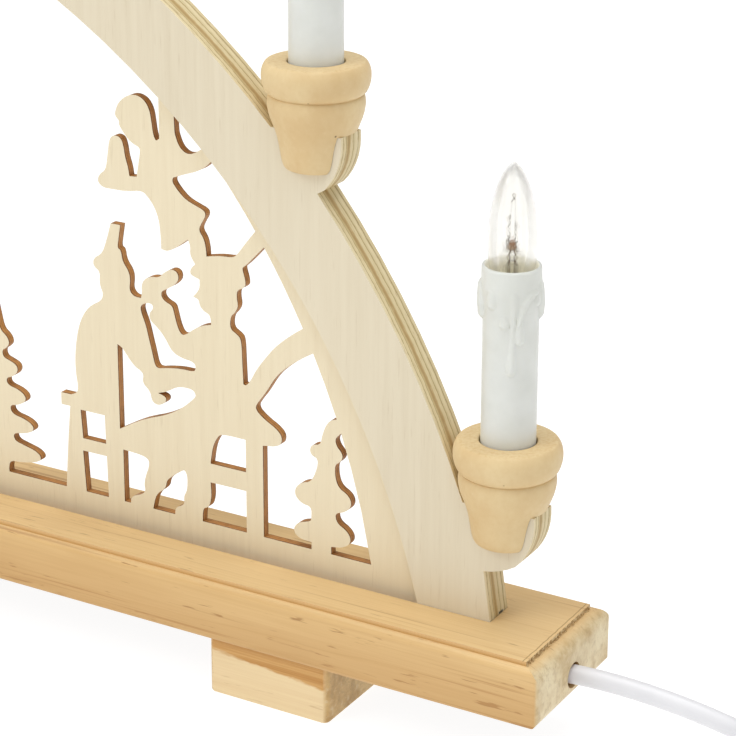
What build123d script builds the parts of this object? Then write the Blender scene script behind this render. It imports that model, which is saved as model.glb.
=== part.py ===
from build123d import *
import math
import os

os.makedirs("parts", exist_ok=True)

# ---------------------------------------------------------------- dimensions
# X runs along the base, -Y is the front, Z is up, the feet stand on Z = 0.

# base board
base_len = 584.0          # along X
base_dep = 45.4           # along Y
foot_dep = 41.0           # the feet stand back a little
foot_h = 16.5             # height of the two foot blocks under the cover sheet
cover_t = 1.3             # thin cover sheet under the board
board_z0 = foot_h + cover_t
board_h = 18.7
board_z1 = board_z0 + board_h
edge_r = 4.3              # quarter round along the top of the ends and the back
front_r = 2.0             # smaller round along the top of the front
edge_step = 1.3           # little step above the quarter round
corner_r = 1.2            # upright corners of the board
under_r = 1.2             # softened lower edge, front and back
end_under_r = 3.0         # lower edge of the ends
chan_x0, chan_x1 = -272.0, 240.0   # wiring channel in the underside
chan_w, chan_h, chan_y = 16.0, 6.7, 1.0
pocket_x0, pocket_x1 = 230.0, 281.0     # deeper pocket behind the outlet hole
pocket_w, pocket_h, pocket_y = 20.0, 10.5, -0.5
exit_y, exit_z, exit_d = -0.2, 24.4, 7.4  # round hole for the lead, right end
groove_d = 5.0            # groove in the top for the arch
wire_hole_d = 3.2

# feet
foot_len = 39.5
foot_x = 206.2            # centre of each foot from the middle
foot_r = 2.0              # upright corners of the feet

# arch: four sheets glued face to face
arch_zc = -25.0           # centre of the arch circles, below the table plane
arch_ro = 276.6
arch_ri = 253.7
t_front, t_panel, t_band, t_back = 3.0, 2.5, 2.5, 2.5
arch_t = t_front + t_panel + t_band + t_back
y_front = -arch_t / 2
y_panel = y_front + t_front
y_band = y_panel + t_panel
y_back = y_band + t_band
arch_z0 = board_z1 - groove_d + 0.1
chan_ri, chan_ro = 264.0, 270.0    # wire channel between the two bands
band_foot_gap = 0.6       # the outer band stops this much above the board
slot_z0, slot_z1 = 58.1, 61.5      # cross slot to the end seats

# fretwork window
win_zc = 3.2
win_r = 233.0
ledge_z = 42.9            # top of the ledge below the window

# candle places
seats = [(270.55, 70.0), (210.8, 166.6), (115.7, 236.3), (0.0, 260.8),
         (-115.7, 236.3), (-210.8, 166.6), (-270.55, 70.0)]   # axis X, seat height
pad_r = 12.0              # round seat of the middle candle
pad_drop = 4.6
pad_out, pad_in = 10.8, 11.5       # the other seats reach this far out and in
leg_x0, leg_x1 = 268.75, 266.5     # straight foot of the arch, at the board and at its top
leg_z1 = 51.2

# candle cup, heights below its rim
cup_h = 30.0
seat_below = 19.0         # the slot ceiling rests on the seat
slot_w = arch_t + 0.4
bore_d, bore_deep = 15.8, 12.0
cup_wire_d = 5.6

# candle sleeve
tube_d, tube_id = 15.0, 13.9
tube_top = 49.4           # above the cup rim
collar_d, collar_id = 16.2, 13.7

# lamp holder inside the sleeve
holder_d = 13.0
holder_post_d = 8.6
holder_top = 41.6
holder_cup_z = 23.0

holder_bore = 10.4
shell_in = 9.9            # inside of the thread shell

# lamp
cap_d, cap_len = 9.4, 10.2
lamp_z0 = 31.0            # bottom contact above the cup rim
lamp_tip = 77.3
lamp_d = 13.3

wire_d = 1.3
wire_y = y_band + t_band / 2

# lead: corner points of its route, then a tied round coil with a flat plug lying on it
cord_d = 5.4
cord_pts = [(258.0, -4.2, 24.2), (280.0, -1.25, 24.5), (304.0, 2.26, 24.1), (330.0, 7.5, 18.5),
            (353.0, 14.5, 8.0), (377.0, 25.0, 2.75), (400.0, 40.0, 2.75)]
coil_pitch = 5.4
coil_turn_r = 33.3        # middle of the outermost turn
in_dir = math.atan2(15.0, 23.0)
coil_c = (400.0 + coil_turn_r * math.sin(in_dir), 40.0 - coil_turn_r * math.cos(in_dir))
coil_ro, coil_ri, coil_h = 36.0, 19.8, 10.8
coil_top_ri, coil_top_h = 27.6, 16.2     # third layer, on the outermost turns only
tie_w, tie_t = 5.0, 0.7
tie_ang = 168.0
# the end of the lead turns back over the coil in a half circle, up to the plug
tail_leave = 27.9         # middle of the turn that it leaves, straight behind the middle of the coil
tail_r = 23.0
tail_z0 = 13.5
plug_z = 23.0
guard_len, plug_len, plug_w, plug_t = 16.0, 36.0, 35.0, 13.6
pin_d, pin_len, pin_pitch = 4.0, 19.0, 18.0


# ------------------------------------------------------------------- helpers
def out(solid, name):
    solid.label = name
    export_step(solid, os.path.join("parts", name + ".step"))
    vol = solid.volume
    print("%-24s vol %10.1f  solids %d" % (name, vol, len(solid.solids())))


def sheet(face, y0, t):
    """Sketch in the X-Z plane made into a sheet from y0 to y0 + t."""
    return extrude(Plane.XZ.offset(-(y0 + t)) * face, amount=t)


def box(x0, x1, y0, y1, z0, z1):
    return Pos((x0 + x1) / 2, (y0 + y1) / 2, (z0 + z1) / 2) * Box(x1 - x0, y1 - y0, z1 - z0)


def rod(x, y, z0, z1, d):
    return Pos(x, y, (z0 + z1) / 2) * Cylinder(d / 2, z1 - z0)


def turned(profile, x, z):
    """Solid of revolution from (radius, height) points, standing at x, z."""
    pts = [(r, h) for r, h in profile]
    face = make_face(Plane.XZ * Polyline(*pts, close=True))
    s = revolve(face, Axis.Z, 360)
    return Pos(x, 0, z) * s


def smooth(pts, rounds=2):
    """Corner cutting on a closed outline; a third entry marks a sharp corner."""
    cur = [(p[0], p[1], len(p) > 2) for p in pts]
    for _ in range(rounds):
        nxt = []
        n = len(cur)
        for i in range(n):
            p, a, b = cur[i], cur[i - 1], cur[(i + 1) % n]
            if p[2]:
                nxt.append(p)
            else:
                nxt.append((p[0] + 0.25 * (a[0] - p[0]), p[1] + 0.25 * (a[1] - p[1]), False))
                nxt.append((p[0] + 0.25 * (b[0] - p[0]), p[1] + 0.25 * (b[1] - p[1]), False))
        cur = nxt
    res = []
    for p in cur:
        if not res or math.hypot(p[0] - res[-1][0], p[1] - res[-1][1]) > 0.12:
            res.append((p[0], p[1]))
    return res


def outline(pts, rounds=2, flip=False):
    q = smooth(pts, rounds)
    if flip:
        q = [(-x, z) for x, z in reversed(q)]
    return make_face(Polyline(*q, close=True))


def warc(x):
    """Height of the window circle at x."""
    return win_zc + math.sqrt(win_r ** 2 - x * x)


def warc_pts(xa, xb, step=3.0):
    """Sharp points along the window circle from xa to xb."""
    n = max(2, int(abs(xb - xa) / step))
    return [(xa + (xb - xa) * i / n, warc(xa + (xb - xa) * i / n), 1) for i in range(n + 1)]


# --------------------------------------------------------------- base board
def up(sketch):
    """Face whose normal points to +Z."""
    f = sketch.faces()[0]
    return -f if f.normal_at().Z < 0 else f


step_z = board_z1 - edge_step


def round_box(w, h, d, r0, r1, r2, r3):
    """Rectangle drawn from the lower left corner round, with its four corner radii, as a prism."""
    hw, k = w / 2, math.sqrt(0.5)
    cs = [(-hw, 0, r0, 1, 1), (hw, 0, r1, -1, 1), (hw, h, r2, -1, -1), (-hw, h, r3, 1, -1)]
    edge, n = [], len(cs)
    for i, (x, z, r, sx, sz) in enumerate(cs):
        a, b = (x, z + sz * r), (x + sx * r, z)
        if i % 2:
            a, b = b, a
        edge.append(ThreePointArc(a, (x + sx * r * (1 - k), z + sz * r * (1 - k)), b))
        x2, z2, q, tx, tz = cs[(i + 1) % n]
        edge.append(Line(b, (x2 + tx * q, z2) if i % 2 == 0 else (x2, z2 + tz * q)))
    return extrude(up(make_face(Wire(edge))), d)


along = Pos(-base_len / 2 - 5, 0, board_z0) * Rot(0, 0, 90) * Rot(90, 0, 0) * \
    round_box(base_dep, step_z - board_z0, base_len + 10, under_r, under_r, edge_r, front_r)
across = Pos(0, base_dep / 2 + 5, board_z0) * Rot(90, 0, 0) * \
    round_box(base_len, step_z - board_z0, base_dep + 10, end_under_r, end_under_r, edge_r, edge_r)
plan = Pos(0, -base_dep / 2, board_z0 - 1) * round_box(base_len, base_dep, board_h + 2, *[corner_r] * 4)
body = along & across & plan
top = box(-base_len / 2 + edge_r, base_len / 2 - edge_r, -base_dep / 2 + front_r, base_dep / 2 - edge_r,
          step_z - 0.5, board_z1)
board = body + top
board -= box(chan_x0, chan_x1, chan_y - chan_w / 2, chan_y + chan_w / 2, board_z0 - 1, board_z0 + chan_h)
board -= box(pocket_x0, pocket_x1, pocket_y - pocket_w / 2, pocket_y + pocket_w / 2, board_z0 - 1, board_z0 + pocket_h)
gx = leg_x0 + 0.15
board -= box(-gx, gx, y_front - 0.15, -y_front + 0.15, board_z1 - groove_d, board_z1 + 5)
for s in (-1, 1):
    board -= rod(s * 260.4, wire_y, board_z0 + 2, board_z1, wire_hole_d)
board -= Pos((pocket_x1 + base_len / 2) / 2, exit_y, exit_z) * Rot(0, 90, 0) * Cylinder(exit_d / 2, base_len / 2 - pocket_x1 + 4)

# screw places in the underside
cover_screw_xy = [(x, y) for x in (-284.0, -150.0, 0.0, 150.0) for y in (-15.7, 15.5)] + [(284.0, -15.7), (284.0, 15.5)]
foot_screw_xy = [(s * foot_x + d, -12.5) for s in (-1, 1) for d in (-11.0, 11.0)] + \
                [(s * foot_x + d, 16.0) for s in (-1, 1) for d in (-11.0, 11.0)]
for x, y in cover_screw_xy:
    board -= rod(x, y, board_z0 - 1, board_z0 + 8.2, 1.9)
for x, y in foot_screw_xy:
    board -= rod(x, y, board_z0 - 1, board_z0 + 13.2, 2.6)
# two small holes in the pocket ceiling for the lead clamp
clamp_x = 275.5
clamp_y = -1.86
pocket_top = board_z0 + pocket_h
for dy in (-5.4, 5.4):
    board -= rod(clamp_x, clamp_y + dy, pocket_top - 1, pocket_top + 4.4, 1.6)
out(board, "base_board")

# ------------------------------------------------------------- cover sheet
cover = box(-288.3, 288.3, -18.5, 19.0, foot_h, board_z0)
cover = fillet(cover.edges().filter_by(Axis.Z), 2.2)
for x, y in cover_screw_xy:
    cover -= rod(x, y, foot_h - 1, board_z0 + 1, 2.7)
for x, y in foot_screw_xy:
    cover -= rod(x, y, foot_h - 1, board_z0 + 1, 3.8)
out(cover, "base_cover")


def pan_screw(x, y):
    s = rod(x, y, foot_h - 1.2, foot_h, 5.4)
    s = fillet(s.edges().group_by(Axis.Z)[0], 0.8)
    s -= box(x - 1.6, x + 1.6, y - 0.3, y + 0.3, foot_h - 1.6, foot_h - 0.7)
    s += rod(x, y, foot_h, board_z0 + 6.4, 1.9)
    tip = Pos(x, y, board_z0 + 6.4 + 0.8) * Cone(0.95, 0.2, 1.6)
    return s + tip


out(Compound(children=[pan_screw(x, y) for x, y in cover_screw_xy]), "cover_screws")


# ---------------------------------------------------------------------- feet
def foot(s):
    f = Pos(s * foot_x, 0, board_z0 / 2) * Box(foot_len, foot_dep, board_z0)
    f = fillet(f.edges().filter_by(Axis.Z), foot_r)
    f = fillet(f.edges().group_by(Axis.Z)[-1], 1.0)
    f = fillet(f.edges().group_by(Axis.Z)[0], 0.8)
    # the front lip reaches up to the board in front of the cover sheet
    f -= box(s * foot_x - foot_len, s * foot_x + foot_len, -18.65, foot_dep, foot_h, board_z0 + 1)
    for x, y in foot_screw_xy:
        if x * s > 0:
            f -= rod(x, y, -1, foot_h + 1, 3.8)
            f -= Pos(x, y, 2.0) * Cone(3.7, 1.9, 2.4)
            f -= rod(x, y, -1, 0.81, 7.4)
    return f


out(foot(1), "foot_right")
out(foot(-1), "foot_left")


def foot_screw(x, y):
    s = Pos(x, y, 2.0) * Cone(3.6, 1.8, 2.2)
    s -= box(x - 2.2, x + 2.2, y - 0.35, y + 0.35, 0.6, 1.5)
    s -= box(x - 0.35, x + 0.35, y - 2.2, y + 2.2, 0.6, 1.5)
    s += rod(x, y, 3.0, foot_h + 1.0, 3.4)
    s += rod(x, y, foot_h + 0.9, board_z0 + 11.0, 2.6)
    return s + Pos(x, y, board_z0 + 12.0) * Cone(1.3, 0.2, 2.0)


out(Compound(children=[foot_screw(x, y) for x, y in foot_screw_xy]), "foot_screws")


# ------------------------------------------------------------ arch outlines
def seat_pads():
    pads = []
    for x, z in seats:
        if abs(x) < 1:
            c = Pos(x, z - pad_drop) * Circle(pad_r)
            c &= Pos(x, z - 20) * Rectangle(60, 40)
        else:
            # hooked seat: upright tip, then a bend back under the cup
            sx = 1 if x > 0 else -1

            def at(u, w):
                return (x + sx * u, z + w)

            edge = [Line(at(pad_out, 0), at(pad_out + 0.05, -2.6)),
                    ThreePointArc(at(pad_out + 0.05, -2.6), at(9.55, -9.1), at(5.5, -15.3)),
                    ThreePointArc(at(5.5, -15.3), at(1.0, -17.55), at(-4.05, -18.8)),
                    Line(at(-4.05, -18.8), at(-pad_in, -18.8)),
                    Line(at(-pad_in, -18.8), at(-pad_in, 0)),
                    Line(at(-pad_in, 0), at(pad_out, 0))]
            c = up(make_face(Wire(edge)))
        pads.append(c)
    return pads


def full_disc(z_low):
    d = Pos(0, arch_zc) * Circle(arch_ro)
    for s in (1, -1):
        far = [(s * leg_x0, z_low - 1), (s * leg_x0, board_z1), (s * leg_x1, leg_z1), (s * 300, leg_z1), (s * 300, z_low - 1)]
        leg = [(s * 255, z_low - 1), (s * leg_x0, z_low - 1), (s * leg_x0, board_z1), (s * leg_x1, leg_z1), (s * 255, leg_z1)]
        for q, add in ((far, False), (leg, True)):
            f = up(make_face(Polyline(*q, close=True)))
            d = d + f if add else d - f
    for p in seat_pads():
        d += p
    d &= Pos(0, z_low + 200) * Rectangle(700, 400)
    return d


disc = full_disc(arch_z0)
ring_face = disc - Pos(0, arch_zc) * Circle(arch_ri)
out(sheet(ring_face, y_front, t_front), "arch_front_ring")
out(sheet(ring_face, y_back, t_back), "arch_back_ring")

# the two bands of the third sheet, with the wire channel between them
inner_band = (Pos(0, arch_zc) * Circle(chan_ri) - Pos(0, arch_zc) * Circle(arch_ri)) & \
    (Pos(0, arch_z0 + 200) * Rectangle(700, 400))
out(sheet(inner_band, y_band, t_band), "channel_inner_band")
outer_band = full_disc(board_z1 + band_foot_gap) - Pos(0, arch_zc) * Circle(chan_ro)
for x, z in seats:
    if abs(x) > 265:
        # the end seats stand outside the channel: up from a cross slot
        sx = 1 if x > 0 else -1
        zc = (slot_z0 + slot_z1) / 2
        outer_band -= Pos(x, z) * Rectangle(3.6, 2 * (z - slot_z0))
        outer_band -= Pos(x - sx * 13.1, zc) * Rectangle(29.8, slot_z1 - slot_z0)
    else:
        outer_band -= Pos(x, z) * Rectangle(3.6, 90)
band = sheet(outer_band, y_band, t_band)
out(Compound(children=list(band.solids())), "channel_outer_bands")

# ---------------------------------------------------------- fretwork panel
# Right side of the large middle window, from the top down: winged figure,
# and a seated figure with a pointing arm, whose back closes the window.
side_line = [
    (160.6, 157.0, 1), (159.4, 156.0), (158.5, 158.1), (158.1, 161.25), (157.5, 165.0),
    (155.6, 167.75), (152.5, 168.75), (149.4, 167.75), (146.9, 165.6), (146.0, 163.75), (145.4, 161.6),
    (147.0, 160.3), (146.8, 159.0), (148.2, 157.2), (149.6, 155.4), (151.9, 154.0), (153.2, 153.6),
    (154.0, 152.9), (153.5, 150.0), (152.9, 146.7), (152.5, 144.6, 1), (150.0, 144.4, 1), (149.6, 147.0),
    (148.6, 150.0), (148.3, 152.5), (147.5, 155.2), (145.4, 155.9), (143.4, 154.8), (142.6, 150.0),
    (141.8, 145.0), (139.5, 143.5), (138.6, 141.2), (140.5, 139.6), (143.3, 139.6), (149.0, 139.7),
    (154.2, 140.8), (156.25, 139.2), (158.3, 136.7), (159.75, 133.3), (160.25, 129.2), (160.4, 124.4, 1),
    (162.5, 124.0), (165.8, 125.8), (169.6, 128.75, 1), (170.4, 127.1), (170.2, 124.2), (171.9, 121.8, 1),
    (170.4, 120.4), (170.0, 118.5), (173.3, 117.5, 1), (173.3, 114.6), (171.0, 112.0, 1), (172.9, 111.5),
    (173.2, 109.6), (174.6, 108.2), (176.7, 107.5), (177.0, 104.6, 1), (173.75, 103.75), (170.8, 102.0),
    (168.3, 100.0), (166.7, 99.6), (165.4, 101.7), (164.3, 105.8), (163.75, 107.9), (161.25, 108.75),
    (160.0, 110.0), (160.1, 111.6), (161.8, 112.6), (164.6, 114.2), (166.2, 116.2), (165.8, 118.3),
    (163.8, 119.0), (161.3, 117.6), (159.3, 115.6), (156.7, 115.5), (154.2, 114.3), (153.1, 112.1),
    (153.3, 110.0), (152.9, 108.3, 1), (150.4, 108.3), (148.75, 110.0), (149.3, 113.3), (148.75, 115.8),
    (146.7, 118.3), (146.25, 121.7), (145.0, 122.1), (145.6, 125.5), (146.25, 129.2, 1), (142.9, 129.2, 1),
    (141.3, 124.0), (139.6, 119.5), (136.4, 117.6), (136.2, 115.2), (138.6, 113.8), (138.2, 110.0),
    (139.6, 107.0), (138.4, 104.6), (134.2, 102.4), (130.8, 97.5), (128.9, 90.0), (128.3, 82.0),
    (129.5, 74.5), (126.5, 73.2, 1), (122.8, 73.2, 1), (122.8, 69.4, 1), (126.0, 69.4, 1), (124.6, 56.0),
    (123.6, ledge_z, 1)]
top_arc = [(x, z, 1) for x, z, _ in warc_pts(-160.6, 160.6, 5.0)]
left_line = [(-p[0],) + p[1:] for p in reversed(side_line)]
middle = top_arc + side_line + left_line

windows = [
    # between wing and raised arm
    warc_pts(175.5, 165.6) + [(165.8, 160.0), (166.0, 158.75), (167.25, 155.6), (169.4, 154.0), (171.25, 154.0),
                              (172.9, 154.75)],
    # between the skirt, the plume and the ring
    warc_pts(192.2, 178.3) + [(175.6, 150.6), (172.5, 149.0), (168.75, 147.75), (165.0, 146.25, 1), (164.6, 145.0),
                              (166.7, 142.5), (169.2, 140.4), (172.5, 139.2), (175.4, 138.2), (175.8, 136.7),
                              (174.2, 134.2), (173.3, 132.1), (175.0, 130.0), (175.7, 127.1), (175.8, 124.8, 1),
                              (177.5, 125.2), (180.8, 125.8), (185.0, 126.0), (186.7, 127.9), (189.2, 131.25)],
    # behind the right-hand seated figure
    warc_pts(207.5, 195.0) + [(189.6, 125.0), (188.1, 123.75, 1), (187.7, 123.3), (188.75, 120.0), (188.75, 117.9),
                              (186.0, 116.7), (185.7, 114.6), (186.25, 111.7), (185.0, 109.6), (183.6, 108.3),
                              (183.3, 104.6), (185.8, 103.3), (187.1, 102.0), (187.3, 95.8), (187.6, 88.7, 1),
                              (188.6, 88.4), (190.2, 90.5), (191.8, 93.6), (194.4, 97.2), (198.4, 102.1),
                              (203.3, 106.25)],
    # under the curved rib, left of the little fir
    warc_pts(218.4, 210.8) + [(206.7, 100.0), (201.7, 96.25), (198.3, 92.9), (194.9, 87.3), (192.8, 84.7),
                              (191.25, 82.1), (194.4, 79.5), (198.5, 77.4), (200.4, 75.4), (200.1, 72.8),
                              (197.5, 71.7), (195.1, 71.5), (193.9, 71.2, 1), (193.9, ledge_z, 1),
                              (210.0, ledge_z, 1), (210.0, 45.2, 1), (206.9, 45.2), (204.6, 46.2), (204.0, 48.3),
                              (205.8, 50.4), (209.5, 51.4), (210.0, 52.3), (210.0, 56.1), (206.9, 56.3),
                              (204.6, 58.2), (204.6, 60.8), (206.9, 62.9), (210.0, 63.7), (211.9, 68.1),
                              (212.3, 71.2), (210.0, 71.9), (209.5, 73.8), (210.5, 75.2), (213.1, 75.7),
                              (213.6, 78.5), (214.7, 81.6), (216.25, 83.7)],
    # right of the little fir
    warc_pts(229.6, 219.8) + [(217.8, 78.5), (218.3, 76.4), (219.9, 74.8), (220.4, 73.3), (219.4, 71.7),
                              (217.8, 70.7), (217.8, 67.0), (218.9, 63.9), (222.0, 62.4), (223.2, 60.3),
                              (222.6, 58.2), (220.4, 56.6), (217.8, 55.9), (218.3, 53.0), (221.5, 51.4),
                              (223.0, 49.3), (222.5, 47.2), (219.9, 45.7), (216.5, 45.2, 1), (216.5, ledge_z, 1)],
    # between the two seated figures
    [(152.5, 104.6), (152.9, 106.25), (155.0, 107.25), (156.8, 107.1), (157.1, 105.8), (155.6, 104.2),
     (155.8, 102.1), (158.3, 100.4), (160.8, 97.9), (163.3, 93.75), (166.7, 92.5), (170.8, 92.1), (171.5, 90.5),
     (170.9, 89.1), (166.25, 89.2), (161.0, 88.4), (158.4, 87.7), (157.2, 88.4), (156.4, 92.0), (155.3, 96.2),
     (154.3, 100.4)],
    # under the arms
    [(144.0, 92.5, 1), (145.1, 92.0), (145.9, 91.5), (149.6, 86.8), (153.2, 85.3), (152.5, 82.1), (155.3, 80.0),
     (155.8, 76.9), (157.9, 76.1), (160.5, 77.4), (161.0, 79.0), (159.5, 79.8), (157.6, 80.0), (160.0, 80.6),
     (162.0, 81.6), (165.2, 83.5), (169.9, 83.7), (171.3, 82.3), (170.9, 81.1), (166.25, 76.9), (161.0, 73.8),
     (153.75, 71.2), (149.6, 69.1), (144.0, 65.9, 1)],
    # between the shins and the posts
    [(145.0, 59.5, 1), (151.7, 59.2), (154.3, 58.2), (154.0, 55.6), (152.9, 53.0), (152.2, 49.8), (152.7, 48.3),
     (151.7, 46.7), (147.5, 45.2), (147.2, ledge_z, 1), (145.0, ledge_z, 1)],
    [(166.25, 57.6), (167.0, 57.6), (167.8, 55.6), (167.5, 51.4), (166.25, 49.3), (166.6, 46.7), (163.3, 45.2),
     (163.1, ledge_z, 1), (155.3, ledge_z, 1), (156.4, 47.8), (160.0, 50.4), (160.3, 53.0), (162.6, 55.0)],
    # stool of the right-hand figure
    [(179.8, 71.9), (188.1, 71.8, 1), (188.1, 61.8, 1), (175.9, 61.8, 1), (176.7, 67.0), (178.2, 70.2)],
    [(175.8, 55.9, 1), (188.1, 55.9, 1), (188.1, ledge_z, 1), (172.8, ledge_z, 1), (173.0, 47.2), (175.1, 47.8),
     (176.1, 51.4)],
    # stool of the left-hand figure
    [(129.8, 69.0, 1), (138.6, 69.0, 1), (138.8, 60.0, 1), (130.4, 60.0, 1)],
    [(130.2, 56.0, 1), (138.9, 56.0, 1), (139.2, ledge_z, 1), (131.0, ledge_z, 1)],
]


def fir(xc, h, w):
    """Lobed fir tree standing on the ledge, as wide as w at its broadest."""
    half = [(0.10, -0.04, 1), (0.09, 0.07), (0.26, 0.075), (0.46, 0.10), (0.52, 0.13), (0.46, 0.165),
            (0.30, 0.185), (0.18, 0.20), (0.17, 0.245), (0.30, 0.255), (0.42, 0.28), (0.43, 0.315), (0.33, 0.345),
            (0.16, 0.36), (0.14, 0.41), (0.24, 0.42), (0.34, 0.45), (0.345, 0.485), (0.26, 0.515), (0.12, 0.53),
            (0.11, 0.57), (0.19, 0.585), (0.26, 0.62), (0.25, 0.66), (0.15, 0.68), (0.085, 0.69), (0.07, 0.73),
            (0.13, 0.75), (0.17, 0.78), (0.14, 0.82), (0.06, 0.85), (0.03, 0.92)]
    right = [(xc + p[0] * w, ledge_z + p[1] * h) + ((1,) if len(p) > 2 else ()) for p in half]
    left = [(2 * xc - p[0],) + p[1:] for p in reversed(right)]
    return right + [(xc, ledge_z + h, 1)] + left


def deer(xc, s, k):
    """Standing deer; s = 1 looks toward -X."""
    q = [(-13, -4, 1), (-13, 8), (-14.2, 17), (-15.2, 24), (-17.5, 31), (-20.5, 37), (-22, 41.5), (-26.5, 41.0),
         (-28.4, 43.6), (-26.6, 46.4), (-22.6, 48.8), (-22.6, 53.0), (-27.4, 58.0), (-25.6, 59.4), (-21.6, 55.8),
         (-22.4, 63.2), (-20.2, 63.4), (-18.9, 56.0), (-15.0, 60.6), (-13.6, 58.8), (-18.4, 52.0),
         (-18.6, 48.4), (-15.6, 47.6), (-17.2, 44.4), (-14.6, 38.0), (-10.0, 33.6), (-2, 32.2), (6, 33.0),
         (12, 32.4), (15.5, 33.6), (16.6, 30.6), (14.6, 27.6), (14.4, 21.4), (15.6, 14.0), (14.4, 8.0),
         (15.0, -4, 1), (11.8, -4, 1), (11.2, 8.0), (11.4, 13.6), (8.6, 18.2), (2, 19.4), (-6, 19.2),
         (-9.0, 16.4), (-9.6, 8.0), (-9.8, -4, 1)]
    return [(xc + s * k * p[0], ledge_z + k * p[1]) + ((1,) if len(p) > 2 else ()) for p in q]


def star(xc, zc, r, n=5):
    pts = []
    for i in range(2 * n):
        a = math.pi / 2 + math.pi * i / n
        rr = r if i % 2 == 0 else r * 0.42
        pts.append((xc + rr * math.cos(a), zc + rr * math.sin(a), 1))
    return pts


panel = full_disc(arch_z0)
panel -= outline(middle)
for w in windows:
    panel -= outline(w)
    panel -= outline(w, flip=True)
panel += outline(fir(0, 118, 50))
for s in (1, -1):
    panel += outline(fir(s * 99.0, 54, 30))
    panel += outline(deer(s * 56.0, s, 0.9))
panel += Pos(0, 224) * Rectangle(2.8, 30)
panel += outline(star(0, 204, 14.0), rounds=0)
out(sheet(panel, y_panel, t_panel), "fretwork_panel")

# ---------------------------------------------------------------- candle cup
rim_out = [(13.2, 0.0), (13.95, -0.25), (14.5, -0.95), (14.82, -1.9), (14.9, -3.0), (14.8, -4.4), (14.45, -5.9),
           (13.9, -7.3), (13.3, -8.3), (12.95, -8.8)]
cup_out = [(13.1, -9.2), (13.35, -10.2), (13.4, -11.6), (13.2, -13.2), (12.7, -15.2), (12.0, -17.0),
           (11.3, -18.8), (10.75, -20.6), (10.3, -22.6), (9.95, -24.8), (9.6, -27.0), (9.2, -28.6),
           (8.7, -29.5), (8.0, -30.0)]


def cup(x, z_seat):
    rim = z_seat + seat_below
    prof = [(cup_wire_d / 2, -cup_h), (cup_wire_d / 2, -bore_deep), (bore_d / 2, -bore_deep), (bore_d / 2, -0.35),
            (bore_d / 2 + 0.35, 0.0)] + rim_out + cup_out
    c = turned(prof, x, rim)
    c -= box(x - 30, x + 30, -slot_w / 2, slot_w / 2, rim - cup_h - 5, rim - seat_below)
    relief = Pos(0, arch_zc) * Circle(arch_ro + 0.3)
    c -= sheet(relief, -slot_w / 2, slot_w)
    sol = sorted(c.solids(), key=lambda q: -q.volume)
    return sol[0]


# ------------------------------------------------------------- candle sleeve
def sleeve(x, z_seat):
    rim = z_seat + seat_below
    ro, ri = tube_d / 2, tube_id / 2
    co, ci = collar_d / 2, collar_id / 2
    prof = [(ri, -bore_deep), (ro, -bore_deep), (ro, 33.0), (ro + 0.25, 36.0), (co, 41.0), (co, 48.6), (co - 0.3, 49.2),
            (co - 0.7, 49.4), (ci + 0.2, 49.4), (ci, 49.1), (ci, 46.0), (ri, 44.0)]
    return turned(prof, x, rim)


# --------------------------------------------------------------- lamp holder
def holder(x, z_seat):
    rim = z_seat + seat_below
    pr, hr = holder_post_d / 2, holder_d / 2
    bore = holder_bore / 2
    prof = [(2.6, -bore_deep), (hr - 0.1, -bore_deep), (hr - 0.1, -bore_deep + 2.0), (pr, -bore_deep + 3.4),
            (pr, holder_cup_z - 2.0), (hr, holder_cup_z), (hr, holder_top - 0.5), (hr - 0.5, holder_top),
            (bore, holder_top), (bore, lamp_z0 - 0.6), (2.6, lamp_z0 - 0.6)]
    return turned(prof, x, rim)


def thread_shell(x, z_seat):
    """Brass shell that the lamp screws into."""
    rim = z_seat + seat_below
    return turned([(shell_in / 2, 31.8), (holder_bore / 2, 31.8), (holder_bore / 2, 41.2), (shell_in / 2, 41.2)], x, rim)


def contact(x, z_seat):
    """Centre contact on the floor of the holder."""
    return rod(x, 0, z_seat + seat_below + lamp_z0 - 0.6, z_seat + seat_below + lamp_z0, 7.0)


# ---------------------------------------------------------------------- lamp
neck_r = 3.85


def lamp_cap(x, z_seat):
    """Screw cap with its contact, glass stem and lead wires with the filament."""
    rim = z_seat + seat_below
    r = cap_d / 2
    z = lamp_z0
    prof = [(0.0, z), (1.6, z), (1.9, z + 0.5), (3.0, z + 1.3), (r - 0.45, z + 1.6)]
    zz = z + 1.8
    for _ in range(4):                       # rolled thread, drawn as rounded rings
        prof += [(r - 0.45, zz), (r - 0.05, zz + 0.45), (r - 0.05, zz + 0.75), (r - 0.45, zz + 1.2)]
        zz += 1.75
    prof += [(r - 0.45, z + 9.2), (r - 0.2, z + cap_len), (neck_r, z + cap_len), (neck_r, z + 2.6), (0.0, z + 2.6)]
    cap = turned(prof, x, rim)
    stem = turned([(0.0, 39.9), (3.3, 39.9), (3.3, 40.5), (2.1, 41.2), (1.6, 42.2), (1.5, 43.2), (1.1, 44.0), (0.0, 44.3)],
                  x, rim)
    wires = Pos(x, 0, rim + 50.2) * Cylinder(1.0, 1.6)
    for dx in (-0.55, 0.55):
        wires += rod(x + dx, 0, rim + 44.3, rim + 53.4, 0.5)
        leg = Pos(x + dx * 2.15, 0, rim + 56.1) * Rot(0, math.copysign(12.0, dx), 0) * Cylinder(0.22, 6.2)
        wires += leg
    wires += Pos(x, 0, rim + 58.9) * Rot(0, 90, 0) * Cylinder(0.3, 3.9)
    parts = [cap, stem] + list(wires.solids())
    return Compound(children=parts)


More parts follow.
